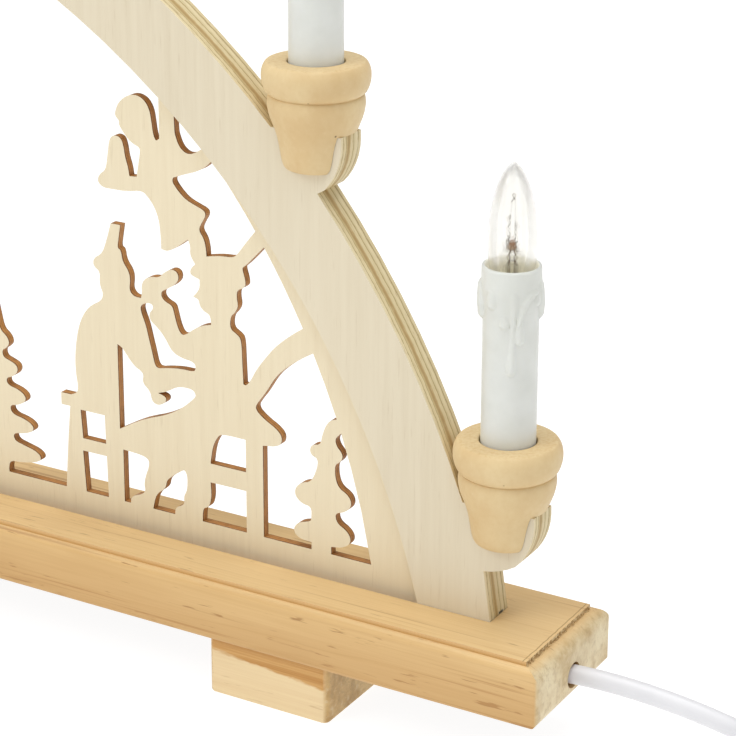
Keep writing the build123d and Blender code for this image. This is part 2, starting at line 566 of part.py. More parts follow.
glass_out = [(neck_r, 39.9), (neck_r, 41.3), (4.25, 42.3), (4.95, 44.2), (5.75, 46.8), (6.3, 49.6), (6.58, 52.8),
             (6.65, 56.0), (6.6, 59.4), (6.3, 63.0), (5.7, 66.4), (4.85, 69.6), (3.8, 72.4), (2.6, 74.8), (1.5, 76.3),
             (0.7, 77.1), (0.0, 77.3)]
glass_in = [(0.0, 76.3), (0.9, 75.7), (1.9, 74.3), (3.1, 72.0), (4.2, 69.2), (5.05, 66.1), (5.65, 62.8),
            (5.95, 59.3), (6.0, 56.0), (5.93, 52.9), (5.65, 49.8), (5.1, 47.1), (4.25, 44.6), (3.5, 42.4),
            (3.3, 41.2), (3.3, 39.9)]


def lamp_glass(x, z_seat):
    return turned(glass_out + glass_in, x, z_seat + seat_below)


shells, contacts = [], []
for i, (x, z) in enumerate(seats):
    k = str(i + 1)
    out(cup(x, z), "candle_cup_" + k)
    out(sleeve(x, z), "candle_sleeve_" + k)
    out(holder(x, z), "lamp_holder_" + k)
    out(lamp_cap(x, z), "lamp_cap_" + k)
    out(lamp_glass(x, z), "lamp_glass_" + k)
    shells.append(thread_shell(x, z))
    contacts.append(contact(x, z))
out(Compound(children=shells), "holder_shells")
out(Compound(children=contacts), "holder_contacts")

# -------------------------------------------------------------------- wiring
wr = wire_d / 2
wire_rad = (chan_ri + chan_ro) / 2
wire_top = lamp_z0 - 0.6       # the wires end under the centre contact


def z_on(x):
    return arch_zc + math.sqrt(wire_rad ** 2 - x * x)


def x_on(z):
    return math.sqrt(wire_rad ** 2 - (z - arch_zc) ** 2)


def arc_wire(xa, xb):
    """Round wire along the channel between two X places, in short straight runs."""
    ta, tb = math.asin(xa / wire_rad), math.asin(xb / wire_rad)
    n = max(2, round(abs(tb - ta) * wire_rad / 12.0))
    pts = [(wire_rad * math.sin(ta + (tb - ta) * i / n), wire_y, arch_zc + wire_rad * math.cos(ta + (tb - ta) * i / n))
           for i in range(n + 1)]
    path = Polyline(*pts)
    pl = Plane(origin=path @ 0, z_dir=path % 0)
    return sweep(pl * Circle(wr), path=path, transition=Transition.RIGHT)


def ball(x, z, y=None):
    return Pos(x, wire_y if y is None else y, z) * Sphere(wr)


def run_x(xa, xb, y, z):
    return Pos((xa + xb) / 2, y, z) * Rot(0, 90, 0) * Cylinder(wr, abs(xb - xa))


low_z, high_z = slot_z0 + 0.8, slot_z1 - 0.8     # the two levels in the cross slot
wire_end = seat_below + wire_top - 0.9
block_x0, block_x1 = 234.0, 248.0
block_z0 = 19.8
runs = []
for i in range(6):
    (xa, za), (xb, zb) = seats[i], seats[i + 1]
    a, b = xa - 0.85, xb + 0.85
    ca = x_on(high_z) if i == 0 else a
    cb = -x_on(high_z) if i == 5 else b
    w = arc_wire(ca, cb)
    for xx, cc, zs in ((a, ca, za), (b, cb, zb)):
        if abs(xx - cc) > 0.1:
            w += ball(cc, high_z) + run_x(xx, cc, wire_y, high_z) + ball(xx, high_z)
            w += rod(xx, wire_y, high_z, zs + wire_end, wire_d)
        else:
            w += ball(xx, z_on(xx)) + rod(xx, wire_y, z_on(xx), zs + wire_end, wire_d)
    runs.append(w)
for s in (1, -1):
    xx = s * (seats[0][0] + 0.85)
    ca, cb = s * x_on(low_z), s * 260.4
    w = arc_wire(ca, cb)
    w += ball(ca, low_z) + run_x(xx, ca, wire_y, low_z) + ball(xx, low_z)
    w += rod(xx, wire_y, low_z, seats[0][1] + wire_end, wire_d)
    zb = 24.2 if s > 0 else 20.8
    w += ball(cb, z_on(cb)) + rod(cb, wire_y, zb, z_on(cb), wire_d) + ball(cb, zb)
    w += run_x(cb, block_x1 if s > 0 else block_x0, wire_y, zb)
    runs.append(w)
for dy in (-1.25, 1.25):                         # the two cores of the lead
    runs.append(run_x(block_x1, cord_pts[0][0] - 0.25, cord_pts[0][1] + dy, cord_pts[0][2]))
out(Compound(children=runs), "arch_wiring")

block = box(block_x0, block_x1, -8.6, 4.6, block_z0, pocket_top)
for bx in (block_x0 + 3.4, block_x1 - 3.4):
    for by in (-5.6, 1.4):
        block -= rod(bx, by, block_z0 - 1, block_z0 + 1.6, 2.8)
out(block, "terminal_block")

slope = math.degrees(math.atan2(cord_pts[1][1] - cord_pts[0][1], cord_pts[1][0] - cord_pts[0][0]))
clamp = box(clamp_x - 3.6, clamp_x + 3.6, clamp_y - 7.4, clamp_y + 7.4, cord_pts[1][2] - 4.2, pocket_top)
clamp -= Pos(clamp_x, clamp_y, 24.43) * Rot(0, 0, slope) * Rot(0, 90, 0) * Cylinder(cord_d / 2 + 0.1, 30)
for dy in (-5.4, 5.4):
    clamp -= rod(clamp_x, clamp_y + dy, 18, pocket_top + 1, 2.0)
out(clamp, "cord_clamp")
screws = []
for dy in (-5.4, 5.4):
    zb = cord_pts[1][2] - 4.2
    hd = rod(clamp_x, clamp_y + dy, zb - 1.1, zb, 3.4)
    hd -= box(clamp_x - 1.2, clamp_x + 1.2, clamp_y + dy - 0.25, clamp_y + dy + 0.25, zb - 1.5, zb - 0.6)
    screws.append(hd + rod(clamp_x, clamp_y + dy, zb, pocket_top + 4.2, 1.6))
out(Compound(children=screws), "clamp_screws")


# ---------------------------------------------------------------------- lead
def route(pts, d, name, share=0.45, ends=0.45):
    """Round tube along straight runs joined by tangent arcs, which take up these shares of the runs."""
    v = [Vector(*p) for p in pts]
    radii = []
    for i, (a, b, c) in enumerate(zip(v, v[1:], v[2:])):
        turn = math.radians((b - a).get_angle(c - b))
        before = (ends if i == 0 else share) * (b - a).length
        after = (ends if i == len(v) - 3 else share) * (c - b).length
        radii.append(min(before, after) / math.tan(turn / 2))
    path = FilletPolyline(*pts, radius=radii)
    pl = Plane(origin=path @ 0, z_dir=path % 0)
    tube = sweep(pl * Circle(d / 2), path=path, transition=Transition.RIGHT)
    print(name, "radii", [round(r, 1) for r in radii], "length", round(path.length, 1),
          "volume", round(tube.volume, 1), "section x length", round(math.pi * d * d / 4 * path.length, 1))
    return tube, path


tube, tube_path = route(cord_pts, cord_d, "mains_cord")
# corner points round a half circle, rising evenly; first and last stand on the circle
tail_c = (coil_c[0], coil_c[1] + tail_leave - tail_r)
steps = 8
tail_pts = []
for i in range(steps + 1):
    a = math.radians(90.0 - 180.0 * i / steps)
    tail_pts.append((tail_c[0] + tail_r * math.cos(a), tail_c[1] + tail_r * math.sin(a),
                     tail_z0 + (plug_z - tail_z0) * (0.5 - 0.5 * math.cos(math.pi * i / steps))))
corners = [tail_pts[0]]
for i in range(steps):
    a = math.radians(90.0 - 180.0 * (i + 0.5) / steps)
    rr = tail_r / math.cos(math.radians(90.0 / steps))
    corners.append((tail_c[0] + rr * math.cos(a), tail_c[1] + rr * math.sin(a),
                    tail_z0 + (plug_z - tail_z0) * (0.5 - 0.5 * math.cos(math.pi * (i + 0.5) / steps))))
corners.append(tail_pts[-1])
tail, tail_path = route(corners, cord_d, "tail", 0.49, 0.96)
out(tube, "mains_cord")

ring = [(coil_ri + 1.7, 0.0), (coil_ro - 1.7, 0.0), (coil_ro - 0.5, 1.0), (coil_ro, 2.7), (coil_ro, coil_top_h - 2.7),
        (coil_ro - 0.5, coil_top_h - 1.0), (coil_ro - 1.7, coil_top_h), (coil_top_ri + 1.7, coil_top_h),
        (coil_top_ri + 0.5, coil_top_h - 1.0), (coil_top_ri, coil_top_h - 2.7), (coil_top_ri, coil_h),
        (coil_ri + 1.7, coil_h), (coil_ri + 0.5, coil_h - 1.0), (coil_ri, coil_h - 2.7), (coil_ri, 2.7), (coil_ri + 0.5, 1.0)]
coil = revolve(make_face(Plane.XZ * Polyline(*ring, close=True)), Axis.Z, 360)
tie_in = [(coil_ri, tie_t), (coil_ro, tie_t), (coil_ro, coil_top_h), (coil_top_ri, coil_top_h), (coil_ri, coil_h)]
tie_out = [(coil_ri - tie_t, 0.0), (coil_ro + tie_t, 0.0), (coil_ro + tie_t, coil_top_h + tie_t),
           (coil_top_ri - 0.2, coil_top_h + tie_t), (coil_ri - tie_t, coil_h + 0.45)]
band = [Pos(0, tie_w / 2, 0) * extrude(make_face(Plane.XZ * Polyline(*q, close=True)), amount=tie_w) for q in (tie_out, tie_in)]
tie = Rot(0, 0, tie_ang) * (band[0] - band[1])
coil -= tie
# down the first layer, up the second, and just over one turn of the third: 7.1 turns in all
coil_len = 2 * math.pi * (2 * 27.9 + 22.5 + 2 * 27.9 + 33.3 + 1.092 * 30.0)
print("coil length", round(coil_len, 1), "whole lead", round(coil_len + tube_path.length + tail_path.length, 1))
print("tie volume", round(tie.volume, 1), "tie box", tie.bounding_box())
out(Pos(coil_c[0], coil_c[1], 0) * coil, "cord_coil")
out(Pos(coil_c[0], coil_c[1], 0) * tie, "cord_tie")

# tail, flex guard and plug body lie on one line
pa = 180.0
p0 = tail_pts[-1]
guard = Rot(0, 90, 0) * Cone(3.6, 5.2, guard_len)
guard = Pos(guard_len / 2, 0, 0) * guard
w0, w1 = 7.5, plug_w / 2
shape = make_face(Polyline((guard_len, -w0), (guard_len + 16, -w1 + 3), (guard_len + 22, -w1), (guard_len + plug_len, -w1),
                           (guard_len + plug_len, w1), (guard_len + 22, w1), (guard_len + 16, w1 - 3), (guard_len, w0),
                           close=True))
bodyp = Pos(0, 0, -plug_t / 2) * extrude(shape, amount=plug_t)
bodyp = fillet(bodyp.edges().filter_by(Axis.Z), 2.0)
bodyp = fillet(bodyp.edges().group_by(Axis.Z)[-1] + bodyp.edges().group_by(Axis.Z)[0], 1.6)
plug = guard + bodyp
face_x = guard_len + plug_len
for s in (-1, 1):
    plug -= Pos(face_x - 4, s * pin_pitch / 2, 0) * Rot(0, 90, 0) * Cylinder(pin_d / 2, 10)
place = Pos(*p0) * Rot(0, 0, pa)
out(place * plug, "mains_plug")
pins = []
for s in (-1, 1):
    pin = Pos(face_x + (pin_len - 9) / 2, s * pin_pitch / 2, 0) * Rot(0, 90, 0) * Cylinder(pin_d / 2, pin_len + 9)
    pin = fillet(pin.edges().group_by(Axis.X)[-1], 1.2)
    pins.append(place * pin)
out(Compound(children=pins), "plug_pins")
out(tail, "cord_tail")
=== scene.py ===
import bpy
import bmesh
import math
import random
from mathutils import Vector, Matrix, noise


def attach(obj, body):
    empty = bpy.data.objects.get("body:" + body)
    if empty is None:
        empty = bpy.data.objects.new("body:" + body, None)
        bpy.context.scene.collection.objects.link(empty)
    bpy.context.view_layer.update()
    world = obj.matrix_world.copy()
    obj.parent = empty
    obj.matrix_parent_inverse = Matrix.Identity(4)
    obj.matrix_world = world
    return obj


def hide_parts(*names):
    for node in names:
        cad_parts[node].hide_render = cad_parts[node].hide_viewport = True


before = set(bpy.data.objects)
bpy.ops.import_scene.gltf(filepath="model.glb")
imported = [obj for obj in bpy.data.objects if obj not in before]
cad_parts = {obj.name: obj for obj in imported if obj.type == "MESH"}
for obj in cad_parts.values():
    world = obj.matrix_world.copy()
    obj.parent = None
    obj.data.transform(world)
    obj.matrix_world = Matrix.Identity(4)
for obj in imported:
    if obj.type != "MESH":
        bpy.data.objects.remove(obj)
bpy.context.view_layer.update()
MM = 0.001
rnd = random.Random(7)

# ------------------------------------------------------------------ constants
SEATS = [(270.55, 70.0), (210.8, 166.6), (115.7, 236.3), (0.0, 260.8),
         (-115.7, 236.3), (-210.8, 166.6), (-270.55, 70.0)]
SEAT_BELOW = 19.0
BORE_DEEP = 12.0
SLOT_W = 10.9
ARCH_ZC, ARCH_RO = -25.0, 276.6

scene = bpy.context.scene

# --------------------------------------------------------------------- camera
cam = bpy.data.cameras.new("camera")
cam_ob = bpy.data.objects.new("camera", cam)
scene.collection.objects.link(cam_ob)
cam_ob.location = (0.5456, -0.547, 0.346)
cam_ob.rotation_euler = (math.radians(72.227), math.radians(-0.14), math.radians(30.267))
cam.sensor_width = 36.0
cam.lens = 36.0 * 2468.7 / 736.0
cam.shift_x = 0.0
cam.shift_y = -0.2
cam.clip_start, cam.clip_end = 0.05, 50.0
scene.camera = cam_ob
scene.render.resolution_x = 736
scene.render.resolution_y = 736
scene.render.resolution_percentage = 100


def link(ob):
    scene.collection.objects.link(ob)
    return ob


# ----------------------------------------------------------------------- cord
CORD_D = 0.0054
route = [(258.0, -4.2, 24.2), (280.0, -1.25, 24.5), (304.0, 2.26, 24.1), (330.0, 7.5, 18.5),
         (353.0, 14.5, 8.0), (377.0, 25.0, 2.75), (400.0, 40.0, 2.75)]
in_dir = math.atan2(15.0, 23.0)
COIL_R = 33.3
COIL_C = (400.0 + COIL_R * math.sin(in_dir), 40.0 - COIL_R * math.cos(in_dir))
a0 = in_dir + math.pi / 2                       # where the lead meets the coil, which runs clockwise
total = 7.0 + in_dir / (2 * math.pi)            # turns, up to the place straight behind the middle
# (turns, radius, height): inwards along the floor, outwards on top, then once round on the outside
places = [(0.0, 33.3, 2.75), (2.0, 22.5, 2.75), (3.0, 22.5, 8.15), (5.0, 33.3, 8.15), (6.0, 33.3, 13.5),
          (6.5, 28.6, 13.5), (total, 27.9, 13.5)]


def coil_at(t):
    for (t0, r0, z0), (t1, r1, z1) in zip(places, places[1:]):
        if t <= t1:
            k = (t - t0) / (t1 - t0)
            return r0 + (r1 - r0) * k, z0 + (z1 - z0) * k
    return places[-1][1], places[-1][2]


PER_TURN = 16
n_coil = int(total * PER_TURN)
turns = []
for i in range(n_coil):
    t = total * (i + 0.5) / n_coil
    r, z = coil_at(t)
    a = a0 - 2 * math.pi * t
    # corner points of a round turn stand a little outside it
    k = 1.0 / math.cos(math.pi / PER_TURN)
    # the lead runs on a little before it bends into the first turn
    late = 6.6 * max(0.0, 1.0 - t / 0.4)
    turns.append((COIL_C[0] + late * math.cos(in_dir) + r * k * math.cos(a),
                  COIL_C[1] + late * math.sin(in_dir) + r * k * math.sin(a), z))

# half circle back over the coil, rising to the plug that lies on it
TAIL_R, TAIL_LEAVE, TAIL_Z0, PLUG_Z = 23.0, 27.9, 13.5, 23.0
tail_c = (COIL_C[0], COIL_C[1] + TAIL_LEAVE - TAIL_R)
STEPS = 8
tail = []
for i in range(STEPS):
    u = (i + 0.5) / STEPS
    a = math.radians(90.0 - 180.0 * u)
    rr = TAIL_R / math.cos(math.radians(90.0 / STEPS))
    tail.append((tail_c[0] + rr * math.cos(a), tail_c[1] + rr * math.sin(a),
                 TAIL_Z0 + (PLUG_Z - TAIL_Z0) * (0.5 - 0.5 * math.cos(math.pi * u))))
tail.append((tail_c[0] - 4.57, tail_c[1] - TAIL_R, PLUG_Z))
tail.append((tail_c[0] - 6.5, tail_c[1] - TAIL_R, PLUG_Z))
pts = route + turns + tail
cu = bpy.data.curves.new("lead", "CURVE")
cu.dimensions = "3D"
sp = cu.splines.new("NURBS")
sp.points.add(len(pts) - 1)
for p, q in zip(sp.points, pts):
    p.co = (q[0] * MM, q[1] * MM, q[2] * MM, 1.0)
    p.radius = CORD_D / 2
sp.order_u = 3
sp.use_endpoint_u = True
sp.resolution_u = 6
cu.bevel_depth = 1.0                             # times the radius of the points
cu.bevel_resolution = 6
cu.use_fill_caps = True
lead = link(bpy.data.objects.new("lead", cu))
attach(lead, "arch")
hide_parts("mains_cord", "cord_coil", "cord_tail")


# --------------------------------------------------------------- shader helpers
class Mat:
    """Small helper around one node tree."""

    def __init__(self, name, rough=0.5, spec=0.5):
        self.m = bpy.data.materials.new(name)
        self.m.use_nodes = True
        self.nt = self.m.node_tree
        self.nt.nodes.clear()
        self.out = self.nt.nodes.new("ShaderNodeOutputMaterial")
        self.b = self.nt.nodes.new("ShaderNodeBsdfPrincipled")
        self.nt.links.new(self.b.outputs[0], self.out.inputs[0])
        self.b.inputs["Roughness"].default_value = rough
        self.b.inputs["Specular IOR Level"].default_value = spec
        self.tc = self.nt.nodes.new("ShaderNodeTexCoord")
        self.obj = self.tc.outputs["Object"]
        self.nrm = self.tc.outputs["Normal"]

    def node(self, kind, **kw):
        n = self.nt.nodes.new(kind)
        for k, v in kw.items():
            setattr(n, k, v)
        return n

    def link(self, a, b):
        self.nt.links.new(a, b)

    def mapping(self, scale=(1, 1, 1), loc=(0, 0, 0), rot=(0, 0, 0), src=None):
        n = self.node("ShaderNodeMapping")
        n.inputs["Scale"].default_value = scale
        n.inputs["Location"].default_value = loc
        n.inputs["Rotation"].default_value = rot
        self.link(src or self.obj, n.inputs["Vector"])
        return n.outputs[0]

    def noise(self, vec, scale=5.0, detail=3.0, rough=0.5, dist=0.0):
        n = self.node("ShaderNodeTexNoise")
        n.inputs["Scale"].default_value = scale
        n.inputs["Detail"].default_value = detail
        n.inputs["Roughness"].default_value = rough
        n.inputs["Distortion"].default_value = dist
        self.link(vec, n.inputs["Vector"])
        return n.outputs["Fac"]

    def voronoi(self, vec, scale=5.0, feature="F1"):
        n = self.node("ShaderNodeTexVoronoi")
        n.feature = feature
        n.inputs["Scale"].default_value = scale
        self.link(vec, n.inputs["Vector"])
        return n.outputs["Distance"]

    def math(self, op, a, b=None, c=None, clamp=False):
        n = self.node("ShaderNodeMath", operation=op, use_clamp=clamp)
        for i, v in enumerate((a, b, c)):
            if v is None:
                continue
            if isinstance(v, (int, float)):
                n.inputs[i].default_value = v
            else:
                self.link(v, n.inputs[i])
        return n.outputs[0]

    def ramp(self, fac, stops, interp="LINEAR"):
        n = self.node("ShaderNodeValToRGB")
        n.color_ramp.interpolation = interp
        el = n.color_ramp.elements
        while len(el) > 1:
            el.remove(el[-1])
        el[0].position = stops[0][0]
        el[0].color = col(stops[0][1])
        for p, c in stops[1:]:
            e = el.new(p)
            e.color = col(c)
        self.link(fac, n.inputs[0])
        return n.outputs[0]

    def fac_ramp(self, fac, lo, hi, a=0.0, b=1.0):
        n = self.node("ShaderNodeMapRange", clamp=True)
        n.inputs["From Min"].default_value = lo
        n.inputs["From Max"].default_value = hi
        n.inputs["To Min"].default_value = a
        n.inputs["To Max"].default_value = b
        self.link(fac, n.inputs["Value"])
        return n.outputs[0]

    def mix(self, fac, a, b, kind="MIX"):
        n = self.node("ShaderNodeMix", data_type="RGBA", blend_type=kind)
        for i, v in ((0, fac), (6, a), (7, b)):
            if isinstance(v, (int, float)):
                n.inputs[i].default_value = v
            elif isinstance(v, (tuple, list, str)):
                n.inputs[i].default_value = col(v)
            else:
                self.link(v, n.inputs[i])
        return n.outputs[2]

    def xyz(self, vec):
        n = self.node("ShaderNodeSeparateXYZ")
        self.link(vec, n.inputs[0])
        return n.outputs

    def bump(self, height, strength=0.2, dist=0.001, after=None):
        n = self.node("ShaderNodeBump")
        n.inputs["Strength"].default_value = strength
        n.inputs["Distance"].default_value = dist
        self.link(height, n.inputs["Height"])
        if after is not None:
            self.link(after, n.inputs["Normal"])
        return n.outputs[0]

    def color(self, c):
        if isinstance(c, (tuple, list, str)):
            self.b.inputs["Base Color"].default_value = col(c)
        else:
            self.link(c, self.b.inputs["Base Color"])

    def rough(self, r):
        self.link(r, self.b.inputs["Roughness"])

    def normal(self, n):
        self.link(n, self.b.inputs["Normal"])


def col(c):
    """#rrggbb in screen colour, or linear numbers, as four linear numbers."""
    if isinstance(c, str):
        v = [int(c[i:i + 2], 16) / 255 for i in (1, 3, 5)]
        v = [x / 12.92 if x <= 0.04045 else ((x + 0.055) / 1.055) ** 2.4 for x in v]
        return (*v, 1.0)
    return (*c, 1.0) if len(c) == 3 else tuple(c)


# ------------------------------------------------------------------- materials
def pine(name, axis="X", centre=(0.0, -0.05, -0.03), early="#E6C48D", mid="#D9B47C", late="#BE925C", seed=0.0,
         spacing=2.6, end_light="#EAD9B2", end_dark="#CDB283", streak=0.5, dash=0.6, top_painted_highlight=0.0):
    """Solid pine: growth rings round an axis along the grain, fibres, dashes and streaks."""
    m = Mat(name, rough=0.45, spec=0.35)
    ax = {"X": 0, "Y": 1, "Z": 2}[axis]

    def along(across, length, loc=(0, 0, 0)):
        sc = [across] * 3
        sc[ax] = length
        return m.mapping(scale=tuple(sc), loc=loc)

    slow = [1.0, 1.0, 1.0]
    slow[ax] = 0.09
    # wandering of the rings along the board
    v_slow = m.mapping(scale=tuple(slow), loc=(seed, seed * 0.7, seed * 1.3))
    wob = m.noise(v_slow, scale=34.0, detail=3.0, rough=0.5)
    wob2 = m.noise(v_slow, scale=260.0, detail=2.0, rough=0.5)
    flat = [1.0, 1.0, 1.0]
    flat[ax] = 0.0
    v_flat = m.mapping(scale=tuple(flat), loc=tuple(-c for c in centre))
    ln = m.node("ShaderNodeVectorMath", operation="LENGTH")
    m.link(v_flat, ln.inputs[0])
    dist = ln.outputs["Value"]
    turns_ = m.math("MULTIPLY", dist, 1000.0 / spacing)
    turns_ = m.math("ADD", turns_, m.math("MULTIPLY", wob, 9.0))
    turns_ = m.math("ADD", turns_, m.math("MULTIPLY", wob2, 0.9))
    saw = m.math("FRACT", turns_)
    ring = m.ramp(saw, [(0.0, early), (0.4, early), (0.78, mid), (0.93, late), (0.98, mid), (1.0, early)])
    # some rings much stronger than others
    which = m.math("FLOOR", turns_)
    wn = m.node("ShaderNodeTexWhiteNoise", noise_dimensions="1D")
    m.link(which, wn.inputs["W"])
    strong = m.fac_ramp(wn.outputs["Value"], 0.3, 1.0, 0.0, 0.6)
    body = m.mix(strong, early, ring)
    # broad warm and pale areas
    area = m.noise(v_slow, scale=26.0, detail=3.0, rough=0.55)
    body = m.mix(m.fac_ramp(area, 0.4, 0.68, 0.0, 0.85), body, mid)
    area2 = m.noise(along(60.0, 9.0, (seed, 4.0, 0)), scale=1.0, detail=3.0, rough=0.6)
    body = m.mix(m.fac_ramp(area2, 0.52, 0.75, 0.0, 0.4), body, late)
    # fine fibres along the grain
    fib = m.noise(along(1100.0, 16.0, (seed * 3, 0, 0)), scale=1.0, detail=4.0, rough=0.65)
    body = m.mix(m.fac_ramp(fib, 0.4, 0.64, 0.0, 0.2), body, late)
    body = m.mix(m.fac_ramp(fib, 0.6, 0.8, 0.0, 0.2), body, "#F3DDB4")
    # short dark dashes in loose groups, and a few long streaks
    group = m.noise(along(70.0, 12.0, (seed, 0, 9.0)), scale=1.0, detail=2.0, rough=0.5)
    fl = m.noise(along(950.0, 95.0, (1.7 + seed, 2.1, 0)), scale=1.0, detail=2.0, rough=0.55)
    fl = m.math("ADD", fl, m.math("MULTIPLY", m.math("SUBTRACT", group, 0.5), 0.25))
    body = m.mix(m.fac_ramp(fl, 0.66, 0.73, 0.0, dash), body, "#9A6C3A")
    lg = m.noise(along(640.0, 9.0, (0, seed, 5.0)), scale=1.0, detail=3.0, rough=0.6)
    body = m.mix(m.fac_ramp(lg, 0.59, 0.7, 0.0, streak), body, "#A9763F")
    # deeper tone towards the lower half; painted highlight: faces that point up are mixed towards a paler beige
    low = m.fac_ramp(m.math("ADD", m.xyz(m.obj)[2], m.math("MULTIPLY", m.math("SUBTRACT", area2, 0.5), 0.02)), 0.034, 0.021)
    body = m.mix(m.math("MULTIPLY", low, 0.0 if top_painted_highlight == 0.0 else 0.5), body, late)
    up_highlight = m.fac_ramp(m.xyz(m.nrm)[2], 0.6, 0.9, 0.0, top_painted_highlight)
    body = m.mix(up_highlight, body, "#EAD6AA")
    # end grain
    n = m.xyz(m.nrm)[ax]
    endf = m.fac_ramp(m.math("ABSOLUTE", n), 0.3, 0.8)
    blot = m.noise(m.obj, scale=95.0, detail=4.0, rough=0.6)
    eg = m.mix(m.fac_ramp(blot, 0.38, 0.66), end_light, end_dark)
    eg = m.mix(m.fac_ramp(saw, 0.6, 0.95, 0.0, 0.14), eg, end_dark)
    blot2 = m.noise(m.mapping(loc=(3.0, 1.0, 2.0)), scale=420.0, detail=4.0, rough=0.65)
    eg = m.mix(m.fac_ramp(blot2, 0.5, 0.7, 0.0, 0.5), eg, "#B2966A")
    eg = m.mix(m.fac_ramp(blot2, 0.28, 0.46, 0.5, 0.0), eg, "#EAD9B4")
    speck = m.noise(m.obj, scale=1500.0, detail=2.0, rough=0.5)
    eg = m.mix(m.fac_ramp(speck, 0.63, 0.72, 0.0, 0.25), eg, "#94774C")
    body = m.mix(endf, body, eg)
    m.parts = dict(endf=endf, fib=fib, blot=blot, speck=speck, saw=saw)
    m.body = body
    m.color(body)
    h = m.math("MULTIPLY", fib, 0.6)
    h = m.math("ADD", h, m.math("MULTIPLY", m.math("MULTIPLY", speck, endf), 1.2))
    m.normal(m.bump(h, 0.25, 0.0004))
    m.rough(m.fac_ramp(fib, 0.3, 0.8, 0.4, 0.58))
    return m


# the board's faces that point up get a painted highlight
base_mat = pine("pine_base", "X", centre=(0.0, -0.075, -0.015), seed=0.37, spacing=2.3, early="#E6C48C", mid="#D8B176",
                late="#B98A50", streak=0.8, dash=0.75, top_painted_highlight=0.25)
# the milled step under the top edge, torn across the grain at the ends; elsewhere its upright face gets painted shade,
# darkest at its foot
p = base_mat.xyz(base_mat.obj)
nn = base_mat.xyz(base_mat.nrm)
upright = base_mat.fac_ramp(base_mat.math("ABSOLUTE", nn[2]), 0.75, 0.35)
on_step = base_mat.math("MULTIPLY", base_mat.fac_ramp(p[2], 0.03515, 0.03525), upright)
tear = base_mat.noise(base_mat.obj, scale=900.0, detail=3.0, rough=0.6)
endx = base_mat.fac_ramp(base_mat.math("ABSOLUTE", nn[0]), 0.3, 0.8)
# painted shade on the upright face of the step, darkest at its foot
step_wall_shade = base_mat.mix(base_mat.fac_ramp(p[2], 0.0353, 0.0362), "#C99C5C", "#D9B077")
step_col = base_mat.mix(endx, step_wall_shade, base_mat.mix(base_mat.fac_ramp(tear, 0.4, 0.6), "#A27B46", "#E2CA9A"))
with_step = base_mat.mix(on_step, base_mat.body, step_col)
# bruised line a little inside the sawn ends of the raised top
ax_ = base_mat.math("ABSOLUTE", p[0])
wander = base_mat.noise(base_mat.mapping(scale=(1.0, 300.0, 1.0)), scale=1.0, detail=3.0)
off = base_mat.math("ABSOLUTE", base_mat.math("SUBTRACT", ax_, base_mat.fac_ramp(wander, 0.2, 0.8, 0.28655, 0.28695)))
line = base_mat.math("MULTIPLY", base_mat.fac_ramp(off, 0.00006, 0.00022, 0.75, 0.0), base_mat.fac_ramp(p[2], 0.0362, 0.03645))
with_step = base_mat.mix(line, with_step, "#93703F")
base_mat.color(with_step)
foot_mat = pine("pine_foot", "X", centre=(0.0, 0.03, 0.075), seed=2.1, spacing=3.2, early="#EFD8AE", mid="#E8CE9F",
                late="#CFA670", streak=0.3, dash=0.25, end_light="#DFBD82", end_dark="#B48C52")
# darker orange-brown band along the top of the feet, with a wavy lower edge
fp = foot_mat.xyz(foot_mat.obj)
side = foot_mat.math("ABSOLUTE", fp[0])
lim = foot_mat.fac_ramp(side, 0.186, 0.227, 0.0139, 0.0104)
wav = foot_mat.noise(foot_mat.mapping(scale=(120.0, 60.0, 400.0)), scale=1.0, detail=3.0, rough=0.6)
lim = foot_mat.math("ADD", lim, foot_mat.math("MULTIPLY", foot_mat.math("SUBTRACT", wav, 0.5), 0.0035))
top_band = foot_mat.fac_ramp(foot_mat.math("SUBTRACT", fp[2], lim), -0.0004, 0.0005)
top_band_col = foot_mat.mix(foot_mat.fac_ramp(foot_mat.parts["fib"], 0.35, 0.65), "#D3A463", "#BC8746")
top_band = foot_mat.math("MULTIPLY", top_band, foot_mat.math("SUBTRACT", 1.0, foot_mat.parts["endf"]))
foot_mat.color(foot_mat.mix(top_band, foot_mat.body, top_band_col))


